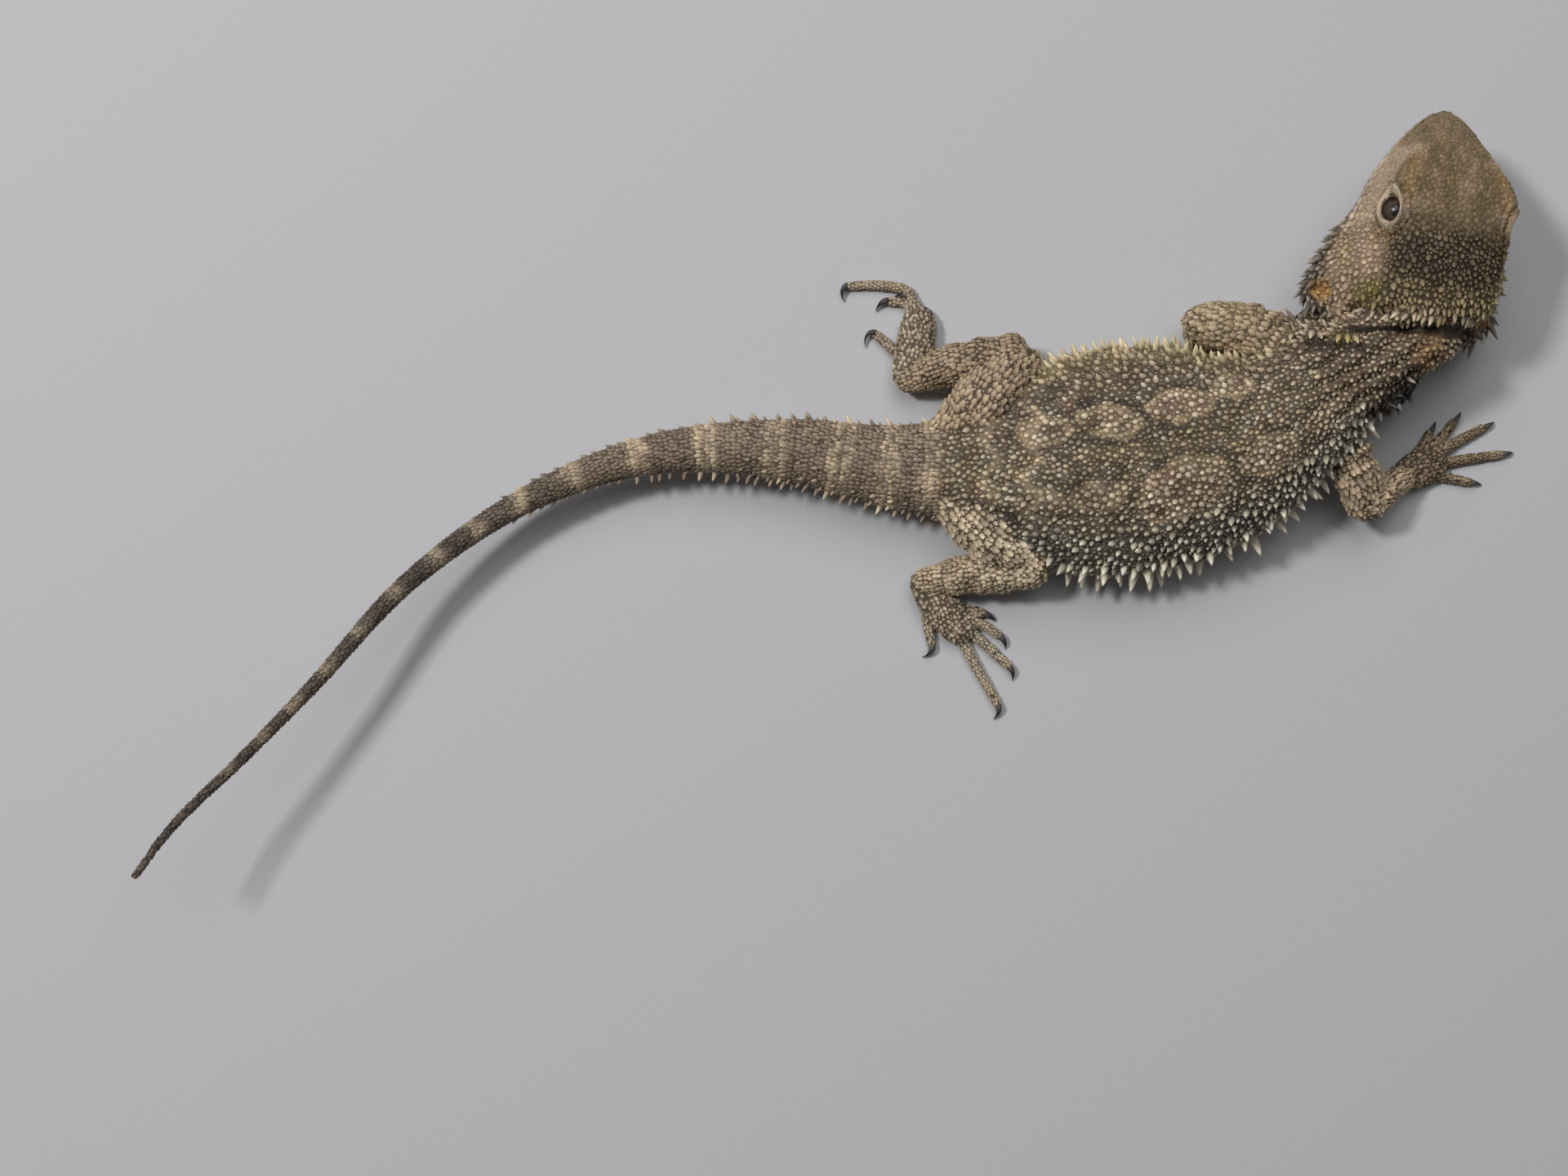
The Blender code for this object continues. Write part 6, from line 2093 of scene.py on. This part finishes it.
# %% Eyeballs
GAZE_UP = math.radians(66.0)
GAZE_AHEAD = 0.06
PUPIL, IRIS_EDGE, IRIS = 1.8, 2.0, 2.9
CORNEA_RISE, CORNEA_WIDTH = 0.18, 0.5
SPOKES = ((46, 0.5), (17, 0.5))
SPOKE_WAVER = 7
SPOKE_CONTRAST = 0.3
PUPIL_COLOUR = tint(22, 12, 13)
IRIS_EDGE_COLOUR = tint(92, 74, 58)
IRIS_COLOUR = tint(74, 62, 54)
LIMBUS = tint(50, 40, 36)

eye_finish, nodes, links, shader = new_material("wet_eye")
markings = add_node(nodes, "ShaderNodeAttribute")
markings.attribute_name = "Markings"
join(links, (markings, "Color", shader, "Base Color"))
for name, value in (("Roughness", 0.3), ("Coat Weight", 0.25), ("Coat Roughness", 0.3)):
    shader.inputs[name].default_value = value


def make_eye(name, node, side):
    """One eyeball with its iris painted in rings about the way it looks."""
    middle = eye_middle(side)
    look = Vector((-GAZE_AHEAD, side * math.cos(GAZE_UP), math.sin(GAZE_UP))).normalized()
    gaze = HEAD_FRAME.to_3x3() @ look
    place = Matrix.Translation(middle) @ gaze.to_track_quat("Z", "Y").to_matrix().to_4x4()
    ball = bmesh.new()
    bmesh.ops.create_uvsphere(ball, u_segments=96, v_segments=72, radius=EYE_RADIUS, matrix=place)
    angles, spins = [], []
    for vert in ball.verts:
        local = place.inverted() @ vert.co
        angles.append(math.acos(max(-1.0, min(1.0, local.z / EYE_RADIUS))))
        spins.append(math.atan2(local.y, local.x))
        rise = CORNEA_RISE * math.exp(-((angles[-1] / CORNEA_WIDTH) ** 2))
        vert.co = middle + (vert.co - middle) * (1 + rise / EYE_RADIUS)
    angles, spins = np.array(angles), np.array(spins)
    reach = EYE_RADIUS * np.sin(angles)
    reach[angles > math.pi / 2] = EYE_RADIUS
    (fine, fine_depth), (broad, broad_depth) = SPOKES
    spoke = np.sin(spins * fine + 2 * np.sin(spins * SPOKE_WAVER)) * fine_depth
    spoke += np.sin(spins * broad) * broad_depth
    colours = np.tile(IRIS_COLOUR, (len(reach), 1)) * (1 + SPOKE_CONTRAST * spoke)[:, None]
    colours = blend(colours, IRIS_EDGE_COLOUR, 0.8 * bump(reach, IRIS_EDGE, 0.2))
    colours = blend(colours, PUPIL_COLOUR, fade(PUPIL + 0.12, PUPIL - 0.05, reach))
    colours = blend(colours, LIMBUS, fade(IRIS - 0.5, IRIS + 0.1, reach))
    eye = put_in_place(ball, name)
    eye.data.shade_smooth()
    store_colours(eye.data, colours)
    dress(eye, eye_finish, [node])
    return eye


for name, node, side in (("eyeball_left", "eye_left", 1), ("eyeball_right", "eye_right", -1)):
    eyeball = make_eye(name, node, side)
    print(name, "faces:", len(eyeball.data.polygons))

# %% [markdown]
# ## Claws
#
# Each claw is a hook of horn that leaves the toe, rises a little and comes down in front of it. It is
# a loft of shrinking circles along that arc, grey at the root and almost black at the tip. Those of
# the hind feet are a fifth larger and turn aside on the way to their tips.

# %% Claws
CLAW_LENGTH = 3.6
CLAW_RADIUS = 0.9
HIND_CLAWS = 1.2
CLAW_ARCH = 0.5
CLAW_TAPER, CLAW_POWER = 0.9, 1.3
CLAW_ROOT = (1.1, 0.4)
CLAW_TIP_HEIGHT = 0.45
CLAW_STEPS = 9
CLAW_SIDES = 12
CLAW_TURN = {"foot_left": (0.6, 0.7, 0.8, 1.3, 1.7), "foot_right": (-0.3, -0.5, -0.5, -0.7, -0.8)}
CLAW_PALE, CLAW_DARK = tint(92, 86, 82), tint(40, 38, 40)
claw_horn = scaly("claw_horn", 0.5, 0.12, 0.3, 0.02)


def claw_sections(path, turn, size):
    """Circles along one claw, from inside the toe's end to the tip."""
    before, last = Vector((*path[-2], 0)), Vector((*path[-1], 0))
    ahead = (last - before).normalized()
    start = last + UP * TOE_TIP_RADIUS * CLAW_ROOT[0]
    sections = []
    for step in range(CLAW_STEPS):
        part = step / (CLAW_STEPS - 1)
        bend = Quaternion(UP, turn * part) @ ahead
        centre = start + bend * (TOE_TIP_RADIUS * CLAW_ROOT[1] + CLAW_LENGTH * size * part)
        centre.z += CLAW_ARCH * math.sin(math.pi * part) - (start.z - CLAW_TIP_HEIGHT) * part * part
        left = UP.cross(bend)
        radius = CLAW_RADIUS * size * (1 - CLAW_TAPER * part**CLAW_POWER)
        angles = [math.tau * side / CLAW_SIDES for side in range(CLAW_SIDES)]
        sections.append([centre + (left * math.cos(a) + UP * math.sin(a)) * radius for a in angles])
    return sections


for name, paths in TOES.items():
    claws, roots = bmesh.new(), []
    size = HIND_CLAWS if name.startswith("foot") else 1.0
    for path, turn in zip(paths, CLAW_TURN.get(name, (0.0,) * len(paths))):
        sections = claw_sections(path, turn, size)
        roots.append(sum(sections[0], Vector()) / CLAW_SIDES)
        loft(claws, sections)
    points = as_rows(vert.co for vert in claws.verts)
    away = np.linalg.norm(points[:, None] - as_rows(roots)[None], axis=2)
    share = fade(0.4, CLAW_LENGTH * 0.9, away.min(axis=1))
    piece = put_in_place(claws, "claws_" + name)
    piece.data.shade_smooth()
    store_colours(piece.data, blend(np.tile(CLAW_PALE, (len(points), 1)), CLAW_DARK, share))
    dress(piece, claw_horn)
print("claws:", sum(len(paths) for paths in TOES.values()))

# %% [markdown]
# ## Floor, light and camera
#
# The animal lies on a plain pale floor. A soft key light stands to the left of the picture and throws
# short soft shadows to the right. A wide light beyond the picture's upper edge fills them, and very
# little comes from below, so that the right flank falls into shade. The camera looks straight down.

# %% The stage
FLOOR_SIZE = 4.0
FLOOR_COLOUR = tint(196, 196, 199)
KEY_WAY = Vector((-25.0, 10.0, 35.0)).normalized()
KEY_DISTANCE = 2.2
KEY_SIZE = 0.3
KEY_POWER = 24.0
FILL_PLACE = (0.1, 1.0, 1.6)
FILL_SIZE = 1.6
FILL_POWER = 17.2
WORLD_LIGHT = 0.07
CAMERA_HEIGHT = 0.6
SENSOR = 36.0
VIEW_WIDTH = 468.3
FIBRE_SCALE = 900.0
FIBRE_DEPTH = 0.00008

floor_mesh = bmesh.new()
bmesh.ops.create_grid(floor_mesh, x_segments=8, y_segments=8, size=FLOOR_SIZE / 2)
floor_data = bpy.data.meshes.new("floor")
floor_mesh.to_mesh(floor_data)
floor_mesh.free()
floor = add_object("floor", floor_data)
matt_floor, nodes, links, shader = new_material("pale_floor")
where = add_node(nodes, "ShaderNodeTexCoord")
fibre = add_node(nodes, "ShaderNodeTexNoise", Scale=FIBRE_SCALE)
grain = add_node(nodes, "ShaderNodeBump", Distance=FIBRE_DEPTH)
join(
    links,
    (where, "Object", fibre, "Vector"),
    (fibre, "Fac", grain, "Height"),
    (grain, "Normal", shader, "Normal"),
)
shader.inputs["Base Color"].default_value = (*FLOOR_COLOUR, 1)
shader.inputs["Roughness"].default_value = 0.85
floor_data.materials.append(matt_floor)
floor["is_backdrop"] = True


def add_light(name, place, size, power):
    """A square soft light that looks at the animal."""
    data = bpy.data.lights.new(name, "AREA")
    data.size = size
    data.energy = power
    light = add_object(name, data)
    light.location = place
    light.rotation_euler = (-Vector(place)).to_track_quat("-Z", "Y").to_euler()


add_light("key", KEY_WAY * KEY_DISTANCE, KEY_SIZE, KEY_POWER)
add_light("fill", Vector(FILL_PLACE), FILL_SIZE, FILL_POWER)
world = bpy.data.worlds.new("studio")
world.use_nodes = True
background = world.node_tree.nodes["Background"]
background.inputs["Color"].default_value = (1, 1, 1, 1)
background.inputs["Strength"].default_value = WORLD_LIGHT
bpy.context.scene.world = world
bpy.context.scene.view_settings.view_transform = "Standard"

camera_data = bpy.data.cameras.new("camera")
camera_data.sensor_width = SENSOR
camera_data.lens = SENSOR * CAMERA_HEIGHT / (VIEW_WIDTH * MM)
camera = add_object("camera", camera_data)
camera.location = (SHIFT[0] * MM, SHIFT[1] * MM, CAMERA_HEIGHT)
bpy.context.scene.camera = camera

# %% [markdown]
# ## Size
#
# Scales and spines may stand a little proud of the solids, but the animal keeps its measured size.

# %% Compare the boxes and finish
sizes = {
    "cad": [list(corner) for corner in cad_box],
    "visual": [list(corner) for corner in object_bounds()],
}
for name, (low, high) in sizes.items():
    print(name, "size in mm:", [round((b - a) / MM, 1) for a, b in zip(low, high)])
